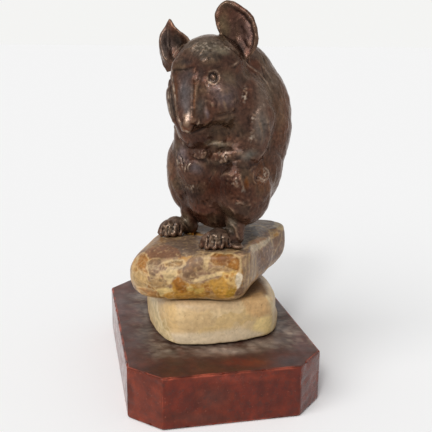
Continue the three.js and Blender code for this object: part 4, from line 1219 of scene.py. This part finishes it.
lowerRockCells = {         # as the upper rock's
    "topGrey": ([(152, 299), (240, 300), (238, 308), (200, 312), (158, 305)], (186, 162, 128), 0),
    "leftField": ([(159, 304), (175, 304), (178, 330), (166, 328), (160, 316)], (200, 171, 122), 0),
    "leftRim": ([(149, 297), (156, 300), (159, 318), (164, 330), (173, 341), (162, 338), (154, 322),
                 (150, 310)], (212, 194, 152), 0.6),
    "leftCellA": ([(160, 321), (165, 320), (167, 325), (162, 327)], (200, 176, 124), 0.7),
    "leftCellB": ([(162, 328), (168, 327), (170, 332), (165, 333)], (196, 172, 120), 0.7),
    # painted shadow of the upper rock
    "shadowUnderUpperRock": ([(240, 298), (250, 284), (260, 278), (267, 288), (268, 297), (258, 299)], (122, 95, 72), 0),
    "gold": ([(241, 297), (262, 292), (269, 300), (270, 314), (258, 319), (248, 313), (243, 305)],
             (198, 162, 114), 0),
    "rightYellow": ([(257, 319), (271, 316), (274, 330), (262, 336), (253, 329)], (222, 200, 142), 0),
    "foot": ([(170, 334), (200, 333), (240, 328), (264, 333), (252, 342), (200, 347), (178, 346)],
             (205, 190, 164), 0),
}

lowerRockVeins = {
    "leftVein": ([(157, 301), (158.5, 316), (164, 329), (173, 341)], 0.8, 0.7),
    "rightVein": ([(267, 296), (272, 305), (274, 320), (271, 331)], 1.2, 0.7),
    "footVein": ([(176, 343), (200, 345), (230, 343), (258, 336)], 1.0, 0.4),
}


def depthInside(x, y, outline):
    ring = outline + outline[:1]
    inside = np.zeros(len(x), dtype=bool)
    for (ax, ay), (bx, by) in zip(ring[:-1], ring[1:]):
        if ay != by:
            crossing = ax + (y - ay) * (bx - ax) / (by - ay)
            inside ^= ((ay > y) != (by > y)) & (x < crossing)
    return np.where(inside, 1, -1) * pathDistance(x, y, ring)


def cellPattern(co, size, seed):
    rng = np.random.default_rng(seed)
    low, high = co.min(0) - size, co.max(0) + size
    seeds = rng.uniform(low, high, (int(np.prod((high - low) / size)), 3))
    nearest = np.full(len(co), 1e9)
    second = np.full(len(co), 1e9)
    owner = np.zeros(len(co), dtype=int)
    for index, centre in enumerate(seeds):
        away = np.linalg.norm(co - centre, axis=1)
        closer = away < nearest
        second = np.where(closer, nearest, np.minimum(second, away))
        owner[closer] = index
        nearest = np.where(closer, away, nearest)
    return owner, second - nearest


def paintOnyx(mesh, rock, cells, veins):
    co, normals = readPoints(mesh), readNormals(mesh)
    seed = rock["seed"]
    warp = np.stack([lumps(co, 5, seed + i) * 3.2 + lumps(co, 1.7, seed + 10 + i) * 1.1
                     for i in range(3)], axis=1)
    owner, gap = cellPattern(co + warp, rock["cellSize"], seed)
    tones = np.array(rock["tones"])
    colours = tones[owner % len(tones)]
    webbed = fade(lumps(co, 8, seed + 6), -0.2, 0.25) * rock["outline"]
    colours = lay(colours, rock["vein"], (1 - fade(gap, 0.2, 0.9)) * webbed)
    patchy = 0.85 + 0.5 * lumps(co, 6, seed + 5)
    colours = lay(colours, rock["top"], fade(normals[:, 2], 0.75, 0.93) * patchy)
    x, y, seen = seenFrom(co, normals, treeOf(mesh))
    x, y = x + warp[:, 0] * 0.35, y + warp[:, 1] * 0.35
    ragged = lumps(co, 1.2, seed + 8) + 1.1 * lumps(co, 3, seed + 12)
    for outline, colour, rim in cells.values():
        colour = tone(*colour)
        depth = depthInside(x, y, outline) + ragged * 1.1
        colours = lay(colours, colour, fade(depth, -rock["soft"], rock["soft"]) * seen * 0.9)
        colours = lay(colours, colour * 0.6, (1 - fade(np.abs(depth - 1.7), 0, 1.4)) * seen * rim * 0.75)
        colours = lay(colours, rock["vein"], (1 - fade(np.abs(depth), 0, 1.1)) * seen * rim * 0.75)
    for path, width, share in veins.values():
        away = pathDistance(x, y, path) + ragged * 0.4
        colours = lay(colours, rock["vein"], (1 - fade(away, width * 0.3, width * 1.8)) * seen * share)
    bedding = lumps(co * np.array([0.35, 0.35, 1.6]), 1.5, seed + 9)
    grain = lumps(co, 0.8, seed + 13)
    colours = lay(colours, rock["vein"], fade(grain, 0.28, 0.6) * 0.4 * rock["grain"])
    shading = 0.14 * ragged + 0.2 * bedding - 0.22 * fade(-grain, 0.1, 0.5)
    colours = colours * (1 + shading * rock["grain"])[:, None]
    return np.clip(colours * rock["cast"], 0.005, 1)


def makeRock(name, cells, veins):
    rock = rocks[name]
    bm = clayOf(name)
    bmesh.ops.join_triangles(bm, faces=bm.faces, angle_face_threshold=0.5, angle_shape_threshold=1.2)
    mesh = meshFrom(bm, name)
    corners = readPoints(mesh)
    smoothed = treeOf(withModifier(mesh.copy(), 'SUBSURF', levels=2, render_levels=2))
    lost = corners - np.array([smoothed.find_nearest(Vector(corner))[0] for corner in corners])
    writePoints(mesh, corners + lost)
    mesh = withModifier(mesh, 'SUBSURF', levels=2, render_levels=2)
    mesh = reskin(mesh, rockWork["voxel"])
    relax(mesh, rockWork["relax"])
    co, normals, edges = readPoints(mesh), readNormals(mesh), readEdges(mesh)
    low, high = corners[:, 2].min(), corners[:, 2].max()
    edge = fade(np.einsum('ij,ij->i', co - averaged(co, edges, 10), normals), 0.03, 0.16)
    bite = fade(lumps(co, 3.2, rock["seed"]), 0.0, 0.45) * rock["chips"] * edge
    steep = 1 - fade(np.abs(normals[:, 2]), 0.8, 0.97)
    waves = rock["waves"] * (lumps(co, 8, rock["seed"] + 1) - 0.15) * steep
    pits = rock["pits"] * lumps(co, 1.8, rock["seed"] + 2)
    outward = normals * [1, 1, 0]
    foot = 1 - fade(co[:, 2], low, low + rockWork["footHeight"])
    co[:, 2] -= (co[:, 2] - low) * foot * rock["squareness"]
    alongTip = co[:, :2] @ tipWay
    far, near = rockWork["tipReach"]
    out = fade(alongTip, alongTip.max() - far, alongTip.max() - near)
    co[:, :2] += np.outer(out, tipWay) * rock["tip"]
    lift, spread = waves + pits - bite, foot * rock["foot"]
    co = co + normals * lift[:, None] + outward * spread[:, None]
    co[:, 0] = np.minimum(co[:, 0], cadBox[1][0] / mm)
    co[:, 2] = np.clip(co[:, 2], low, high)
    writePoints(mesh, co)
    relax(mesh, 1)
    setColours(mesh, paintOnyx(mesh, rock, cells, veins))
    return finishPiece(mesh, name + "_stone", name)


stones = [makeRock("upper_rock", upperRockCells, upperRockVeins),
          makeRock("lower_rock", lowerRockCells, lowerRockVeins)]
print("rocks:", [len(stone.data.polygons) for stone in stones])


# The plinth: the CAD block with eased and chipped arrises, cut into a fine grid that carries its colours

plinth = {
    "arris": 0.45, "segments": 3, "grid": 1.0, "seed": 31, "chip": 0.35,
    # one red marble in lit and shaded tones, face by face: painted shade on the top, painted light on the
    # cants
    "top": tone(69, 31, 19), "sides": tone(94, 30, 8), "cants": tone(101, 38, 20),
    # the arrises lighter: wear, and a painted highlight
    "arrisWearAndHighlight": tone(164, 76, 54), "dust": tone(128, 112, 98), "grime": tone(66, 54, 46),
    "haloReach": 13,          # how far grime and dust lie round the lower rock
}

plinthZones = {            # centre and reach in the photograph's pixels, colour, share
    # a painted reflection on the far left
    "farLeft": ((121, 308), (9, 24), (96, 70, 68), 0.7),
    "leftRed": ((133, 313), (12, 12), (98, 58, 54), 0.5),
    "leftDark": ((146, 334), (10, 18), (72, 60, 52), 0.8),
    "leftFrontRed": ((131, 344), (9, 14), (88, 52, 42), 0.6),
    "smudge": ((167, 351), (8, 2.4), (136, 122, 108), 0.9),
    "haloFront": ((212, 352), (44, 7), (122, 100, 86), 0.85),
    "haloBright": ((226, 350.6), (40, 4.4), (162, 145, 131), 0.9),
    "haloRight": ((264, 344), (24, 9), (124, 108, 96), 0.85),
    "haloFar": ((277, 340), (7, 12), (112, 94, 84), 0.6),
    "frontDark": ((180, 368), (36, 10), (58, 26, 15), 0.8),
    "frontRed": ((246, 363), (34, 7), (98, 34, 14), 0.9),
    "rightDark": ((291, 362), (18, 8), (54, 42, 42), 0.85),
    "rightRed": ((302, 342), (12, 16), (96, 58, 54), 0.6),
    "frontEdgeRed": ((230, 378), (60, 7), (134, 54, 38), 0.5),
    "frontFoot": ((200, 418), (50, 9), (80, 46, 36), 0.5),
    "frontShade": ((214, 398), (26, 18), (88, 50, 40), 0.5),
}


def paintPlinth(mesh):
    co, normals = readPoints(mesh), readNormals(mesh)
    seed = plinth["seed"]
    up = fade(normals[:, 2], 0.6, 0.9)
    slanted = fade(np.minimum(np.abs(normals[:, 0]), np.abs(normals[:, 1])), 0.2, 0.5)
    # painted shade and light, face by face: the sides, lighter cants, a darker top
    colours = np.tile(plinth["sides"], (len(co), 1))
    colours = lay(colours, plinth["cants"], slanted)
    colours = lay(colours, plinth["top"], up)
    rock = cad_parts["lower_rock"]
    rockBox = np.array([rock.matrix_world @ Vector(corner) for corner in rock.bound_box])
    low, high = rockBox.min(0)[:2] / mm, rockBox.max(0)[:2] / mm
    beyond = np.hypot(*np.maximum(np.maximum(low - co[:, :2], co[:, :2] - high), 0).T)
    halo = (1 - fade(beyond, 0, plinth["haloReach"])) * up
    colours = lay(colours, plinth["grime"], halo * 0.5)
    clotted = fade(lumps(co, 6, seed) + lumps(co, 2, seed + 1), -0.1, 0.6)
    colours = lay(colours, plinth["dust"], halo * clotted * 0.7)
    x, y, seen = seenFrom(co, normals, treeOf(mesh))
    wander = 3 * lumps(co, 5, seed + 2)
    for centre, reach, colour, share in plinthZones.values():
        share = zone(x + wander, y + wander * 0.5, centre, reach) * seen * share
        colours = lay(colours, tone(*colour), share)
    streaky = lumps(co * np.array([0.5, 1, 1]), 1.1, seed + 7) + 0.6 * lumps(co, 3, seed + 8)
    swept = fade(streaky, -0.1, 0.35)
    colours = lay(colours, plinth["dust"] * 1.35, (1 - fade(beyond, 1, 9)) * up * swept * 0.3)
    bare = (1 - fade(beyond, 4, 14)) * fade(beyond, 0.5, 3)
    colours = lay(colours, plinth["top"], bare * up * (1 - swept) * 0.35)
    # along the arrises: wear, and a painted highlight
    rounded = 1 - fade(np.abs(normals).max(1), 0.93, 0.995)
    edge = np.where(slanted > 0.5, 0, rounded)
    colours = lay(colours, plinth["arrisWearAndHighlight"], edge * fade(lumps(co, 6, seed + 3), -0.4, 0.3) * 0.75)
    gloss = 1 - up * (0.85 + 0.3 * lumps(co, 8, seed + 5))
    colours = colours * (1 + 0.25 * lumps(co, 3, seed + 4))[:, None]
    return np.clip(colours, 0.004, 1), np.clip(gloss, 0, 1)


def makePlinth():
    bm = flatFaced("plinth")
    corners = np.array([vertex.co for vertex in bm.verts])
    box = corners.min(0), corners.max(0)
    mesh = easedGrid(bm, "plinth_block", plinth["arris"], plinth["segments"], plinth["grid"], range(3))
    co, normals = readPoints(mesh), readNormals(mesh)
    rounded = 1 - fade(np.abs(normals).max(1), 0.9, 0.99)
    chips = fade(lumps(co, 2.4, plinth["seed"] + 6), 0.15, 0.5) * rounded * plinth["chip"]
    writePoints(mesh, np.clip(co - normals * chips[:, None], *box))
    setColours(mesh, *paintPlinth(mesh))
    return finishPiece(mesh, "plinth_block", "plinth")


block = makePlinth()
print("plinth:", len(block.data.polygons), "faces")


# The baize: a cloth glued flat into the plinth's pocket, with a rubbed nap

baize = {
    "hem": 0.3,               # how far the cut edge is worn round
    "segments": 2,
    "grid": 2.0,
    "nap": 0.07,
    "napSize": 3,
    "seed": 41,
    "flat": (0.066, 0.0985),  # metres
}


def makeBaize():
    bm = flatFaced("baize_pad")
    area = sum(face.calc_area() for face in bm.faces if face.normal.z > 0.9)
    mesh = easedGrid(bm, "baize_cloth", baize["hem"], baize["segments"], baize["grid"], range(2))
    co, normals = readPoints(mesh), readNormals(mesh)
    rubbed = baize["nap"] * (0.5 + 0.5 * lumps(co, baize["napSize"], baize["seed"]))
    writePoints(mesh, co - normals * rubbed[:, None])
    cloth = finishPiece(mesh, "baize_cloth", "baize_pad")
    return cloth


cloth = makeBaize()
print("baize:", len(cloth.data.polygons), "faces")


# Finishes

def newFinish(name, **sockets):
    material = bpy.data.materials.new(name)
    material.use_nodes = True
    tree = material.node_tree
    shader = tree.nodes["Principled BSDF"]
    for socket, value in sockets.items():
        shader.inputs[socket.replace("_", " ")].default_value = value
    return material, tree, shader


def addNode(tree, kind, **settings):
    node = tree.nodes.new("ShaderNode" + kind)
    for key, value in settings.items():
        setattr(node, key, value)
    return node


def noiseIn(tree, scale, detail=3, roughness=0.55, distortion=0, stretch=None):
    place = addNode(tree, "TexCoord").outputs["Object"]
    if stretch:
        mapping = addNode(tree, "Mapping")
        mapping.inputs["Scale"].default_value = stretch
        tree.links.new(place, mapping.inputs["Vector"])
        place = mapping.outputs["Vector"]
    node = addNode(tree, "TexNoise")
    inputs = {"Scale": scale, "Detail": detail, "Roughness": roughness, "Distortion": distortion}
    for socket, value in inputs.items():
        node.inputs[socket].default_value = value
    tree.links.new(place, node.inputs["Vector"])
    return node.outputs["Fac"]


def rampIn(tree, source, *stops):
    node = addNode(tree, "ValToRGB")
    elements = node.color_ramp.elements
    while len(elements) < len(stops):
        elements.new(0.5)
    for element, (position, value) in zip(elements, stops):
        element.position = position
        element.color = (*value, 1) if len(np.shape(value)) else (value, value, value, 1)
    tree.links.new(source, node.inputs["Fac"])
    return node.outputs["Color"]


def mixIn(tree, factor, a, b, blend='MIX'):
    node = addNode(tree, "Mix", data_type='RGBA', blend_type=blend)
    sockets = (node.inputs[0], node.inputs[6], node.inputs[7])
    for socket, value in zip(sockets, (factor, a, b)):
        if isinstance(value, bpy.types.NodeSocket):
            tree.links.new(value, socket)
        elif socket.type == 'RGBA':
            socket.default_value = (*value, 1)
        else:
            socket.default_value = value
    return node.outputs[2]


def toneIn(tree, output="Color"):
    return addNode(tree, "VertexColor", layer_name="tone").outputs[output]


def multiplied(tree, colour, source, *stops):
    return mixIn(tree, 1.0, colour, rampIn(tree, source, *stops), 'MULTIPLY')


def flecked(tree, colour, fleck, source, start, full, share):
    return mixIn(tree, rampIn(tree, source, (start, 0.0), (full, share)), colour, fleck)


def roughIn(tree, shader, scale, *stops):
    tree.links.new(rampIn(tree, noiseIn(tree, scale, 3), *stops), shader.inputs["Roughness"])


def bumpIn(tree, shader, height, strength, distance):
    node = addNode(tree, "Bump")
    node.inputs["Strength"].default_value = strength
    node.inputs["Distance"].default_value = distance
    tree.links.new(height, node.inputs["Height"])
    tree.links.new(node.outputs["Normal"], shader.inputs["Normal"])


def bronzeFinish():
    material, tree, shader = newFinish("patinatedBronze", Metallic=0.5, Specular_IOR_Level=0.05,
                                       Specular_Tint=(0.7, 0.55, 0.48, 1), Coat_Roughness=0.08)
    colour = multiplied(tree, toneIn(tree), noiseIn(tree, 900, 4, 0.6), (0.3, 0.62), (0.66, 1.2))
    colour = flecked(tree, colour, tone(150, 124, 100), noiseIn(tree, 1600, 2, 0.5), 0.66, 0.78, 0.4)
    tree.links.new(colour, shader.inputs["Base Color"])
    tree.links.new(rampIn(tree, toneIn(tree, "Alpha"), (0, 0.03), (1, 0.18)), shader.inputs["Coat Weight"])
    roughIn(tree, shader, 420, (0.35, 0.14), (0.7, 0.32))
    bumpIn(tree, shader, noiseIn(tree, 620, 5, 0.65), 0.6, 0.0004)
    return material


def veinsIn(tree, scale, width, warp):
    place = addNode(tree, "TexCoord").outputs["Object"]
    bend = addNode(tree, "TexNoise")
    bend.inputs["Scale"].default_value = scale * 0.8
    tree.links.new(place, bend.inputs["Vector"])
    shift = addNode(tree, "VectorMath", operation='MULTIPLY_ADD')
    shift.inputs[1].default_value = (warp, warp, warp)
    tree.links.new(bend.outputs["Color"], shift.inputs[0])
    tree.links.new(place, shift.inputs[2])
    cells = addNode(tree, "TexVoronoi", feature='DISTANCE_TO_EDGE')
    cells.inputs["Scale"].default_value = scale
    tree.links.new(shift.outputs[0], cells.inputs["Vector"])
    return rampIn(tree, cells.outputs["Distance"], (0.0, 1.0), (width, 0.0))


onyxVeins = (              # scale, width, colour
    (190, 0.16, tone(126, 86, 50)),
    (190, 0.07, tone(222, 200, 158)),
    (420, 0.1, tone(206, 178, 132)),
)


def onyxFinish(name, veinShare, contrast):
    material, tree, shader = newFinish(name, Specular_IOR_Level=0.25)
    colour = multiplied(tree, toneIn(tree), noiseIn(tree, 260, 5, 0.6, 1.5),
                        (0.35, 1 - contrast), (0.65, 1 + contrast * 0.6))
    where = rampIn(tree, noiseIn(tree, 110, 3), (0.5, 0.0), (0.62, veinShare))
    for scale, width, vein in onyxVeins:
        share = mixIn(tree, 1.0, veinsIn(tree, scale, width, 0.0035), where, 'MULTIPLY')
        colour = mixIn(tree, share, colour, vein)
    colour = flecked(tree, colour, tone(120, 88, 58), noiseIn(tree, 900, 2, 0.5), 0.66, 0.76, 0.5)
    tree.links.new(colour, shader.inputs["Base Color"])
    roughIn(tree, shader, 300, (0.35, 0.34), (0.7, 0.56))
    bumpIn(tree, shader, noiseIn(tree, 700, 4, 0.6), 0.3, 0.0002)
    return material


def marbleFinish():
    material, tree, shader = newFinish("redMarble", Specular_IOR_Level=0.3)
    colour = multiplied(tree, toneIn(tree), noiseIn(tree, 90, 4, 0.6, 0.8), (0.36, 0.72), (0.64, 1.22))
    streaks = noiseIn(tree, 300, 4, 0.65, 0, (1, 1, 0.6))
    colour = multiplied(tree, colour, streaks, (0.38, 0.84), (0.62, 1.14))
    colour = flecked(tree, colour, tone(58, 38, 32), noiseIn(tree, 620, 4, 0.65), 0.52, 0.7, 0.5)
    colour = flecked(tree, colour, tone(158, 96, 78), noiseIn(tree, 1400, 2, 0.5), 0.68, 0.76, 0.5)
    tree.links.new(colour, shader.inputs["Base Color"])
    wiped = rampIn(tree, noiseIn(tree, 220, 4), (0.35, 0.12), (0.7, 0.3))
    dusty = rampIn(tree, noiseIn(tree, 160, 4), (0.35, 0.42), (0.7, 0.65))
    tree.links.new(mixIn(tree, toneIn(tree, "Alpha"), dusty, wiped), shader.inputs["Roughness"])
    bumpIn(tree, shader, noiseIn(tree, 800, 4, 0.6), 0.15, 0.0001)
    return material


def masticFinish():
    material, tree, shader = newFinish("mastic", Specular_IOR_Level=0.2)
    colour = rampIn(tree, noiseIn(tree, 140, 5, 0.65),
                    (0.35, tone(134, 118, 92)), (0.65, tone(176, 160, 130)))
    colour = flecked(tree, colour, tone(92, 78, 60), noiseIn(tree, 1100, 3, 0.6), 0.58, 0.68, 0.6)
    tree.links.new(colour, shader.inputs["Base Color"])
    roughIn(tree, shader, 500, (0.3, 0.7), (0.7, 0.95))
    bumpIn(tree, shader, noiseIn(tree, 900, 5, 0.7), 0.6, 0.0003)
    return material


def baizeFinish():
    material, tree, shader = newFinish("greenBaize", Specular_IOR_Level=0.1, Sheen_Weight=0.3,
                                       Sheen_Roughness=0.5)
    pile = rampIn(tree, noiseIn(tree, 1500, 4, 0.7, 1.2), (0.3, tone(22, 52, 34)), (0.7, tone(52, 92, 60)))
    threads = noiseIn(tree, 700, 3, 0.6, 0, (3, 0.4, 1))
    colour = multiplied(tree, pile, threads, (0.4, 0.75), (0.6, 1.15))
    colour = flecked(tree, colour, tone(118, 122, 100), noiseIn(tree, 60, 4, 0.6), 0.52, 0.72, 0.35)
    tree.links.new(colour, shader.inputs["Base Color"])
    roughIn(tree, shader, 400, (0.3, 0.85), (0.7, 1.0))
    bumpIn(tree, shader, noiseIn(tree, 1800, 4, 0.7, 0.8), 0.7, 0.0003)
    return material


def metalFinish(name, bright, dull, stretch, smooth, rough):
    material, tree, shader = newFinish(name, Metallic=1.0)
    tarnish = rampIn(tree, noiseIn(tree, 260, 4, 0.6, 0.5), (0.38, dull), (0.6, bright))
    colour = multiplied(tree, tarnish, noiseIn(tree, 900, 3, 0.6, 0, stretch), (0.4, 0.82), (0.6, 1.1))
    tree.links.new(colour, shader.inputs["Base Color"])
    roughIn(tree, shader, 600, (0.35, smooth), (0.7, rough))
    bumpIn(tree, shader, noiseIn(tree, 1200, 3, 0.6, 0, stretch), 0.3, 0.0001)
    return material


brass = metalFinish("yellowBrass", tone(206, 166, 92), tone(132, 94, 46), (0.4, 0.4, 4), 0.26, 0.48)
zinc = metalFinish("zincPlate", tone(178, 182, 186), tone(128, 130, 132), (2, 0.5, 1), 0.3, 0.5)
rawBronze = metalFinish("rawBronze", tone(166, 118, 78), tone(92, 62, 44), (0.4, 0.4, 4), 0.35, 0.6)
mastic = masticFinish()
cadFinishes = {"lower_mastic_bed": mastic, "upper_mastic_bed": mastic, "neck_pin": rawBronze}
for side in ("left", "right"):
    cadFinishes.update({side + "_stud": brass, side + "_stud_nut": zinc, side + "_stud_washer": zinc})
patinated = bronzeFinish()
for bronze in bronzes:
    bronze.data.materials.append(patinated)
stones[0].data.materials.append(onyxFinish("goldenOnyx", 0.2, 0.24))
stones[1].data.materials.append(onyxFinish("paleOnyx", 0.12, 0.13))
block.data.materials.append(marbleFinish())
cloth.data.materials.append(baizeFinish())
for name, material in cadFinishes.items():
    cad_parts[name].material_slots[0].material = material
print("finishes:", len(bpy.data.materials), "materials")


# Floor, backdrop and light

surround = {
    "floorReach": 30,         # metres
    "background": 0.905,      # what camera and reflections see, linear
    "ambient": 0.36,          # what lights the pieces from all round
    "floor": 0.95,
    "sunStrength": 2.12,
    "sunAngle": 0.95,
    "sunFrom": (-0.85, -0.75, 1.05),
    "glintStrength": 0.7,
    "glintAngle": 0.16,
    "glintFrom": (-0.55, -1.0, 0.9),
}

floorShape = bmesh.new()
bmesh.ops.create_grid(floorShape, x_segments=1, y_segments=1, size=surround["floorReach"])
floor = bpy.data.objects.new("floor", meshFrom(floorShape, "floor"))
scene.collection.objects.link(floor)
floorPaint, _, _ = newFinish("floorPaint", Base_Color=(*[surround["floor"]] * 3, 1), Roughness=0.9,
                             Specular_IOR_Level=0.0)
floor.data.materials.append(floorPaint)

world = bpy.data.worlds.new("world")
scene.world = world
world.use_nodes = True
worldTree = world.node_tree
ambient = worldTree.nodes["Background"]
ambient.inputs["Color"].default_value = (1, 1, 1, 1)
ambient.inputs["Strength"].default_value = surround["ambient"]
backdrop = addNode(worldTree, "Background")
backdrop.inputs["Color"].default_value = (1, 1, 0.985, 1)
backdrop.inputs["Strength"].default_value = surround["background"]
rays = addNode(worldTree, "LightPath")
seenRay = addNode(worldTree, "Math", operation='MAXIMUM')
seenOrThrough = addNode(worldTree, "Math", operation='MAXIMUM')
split = addNode(worldTree, "MixShader")
for output, socket in (
        (rays.outputs["Is Camera Ray"], seenRay.inputs[0]),
        (rays.outputs["Is Glossy Ray"], seenRay.inputs[1]),
        (seenRay.outputs[0], seenOrThrough.inputs[0]),
        (rays.outputs["Is Transmission Ray"], seenOrThrough.inputs[1]),
        (seenOrThrough.outputs[0], split.inputs[0]),
        (ambient.outputs[0], split.inputs[1]),
        (backdrop.outputs[0], split.inputs[2]),
        (split.outputs[0], worldTree.nodes["World Output"].inputs["Surface"])):
    worldTree.links.new(output, socket)


def addSun(name, strength, angle, place):
    data = bpy.data.lights.new(name, 'SUN')
    data.energy = strength
    data.angle = angle
    lamp = bpy.data.objects.new(name, data)
    lamp.matrix_world = Vector(place).to_track_quat('Z', 'Y').to_matrix().to_4x4()
    scene.collection.objects.link(lamp)


addSun("softLight", surround["sunStrength"], surround["sunAngle"], surround["sunFrom"])
addSun("glintLight", surround["glintStrength"], surround["glintAngle"], surround["glintFrom"])

scene.view_settings.view_transform = 'Standard'
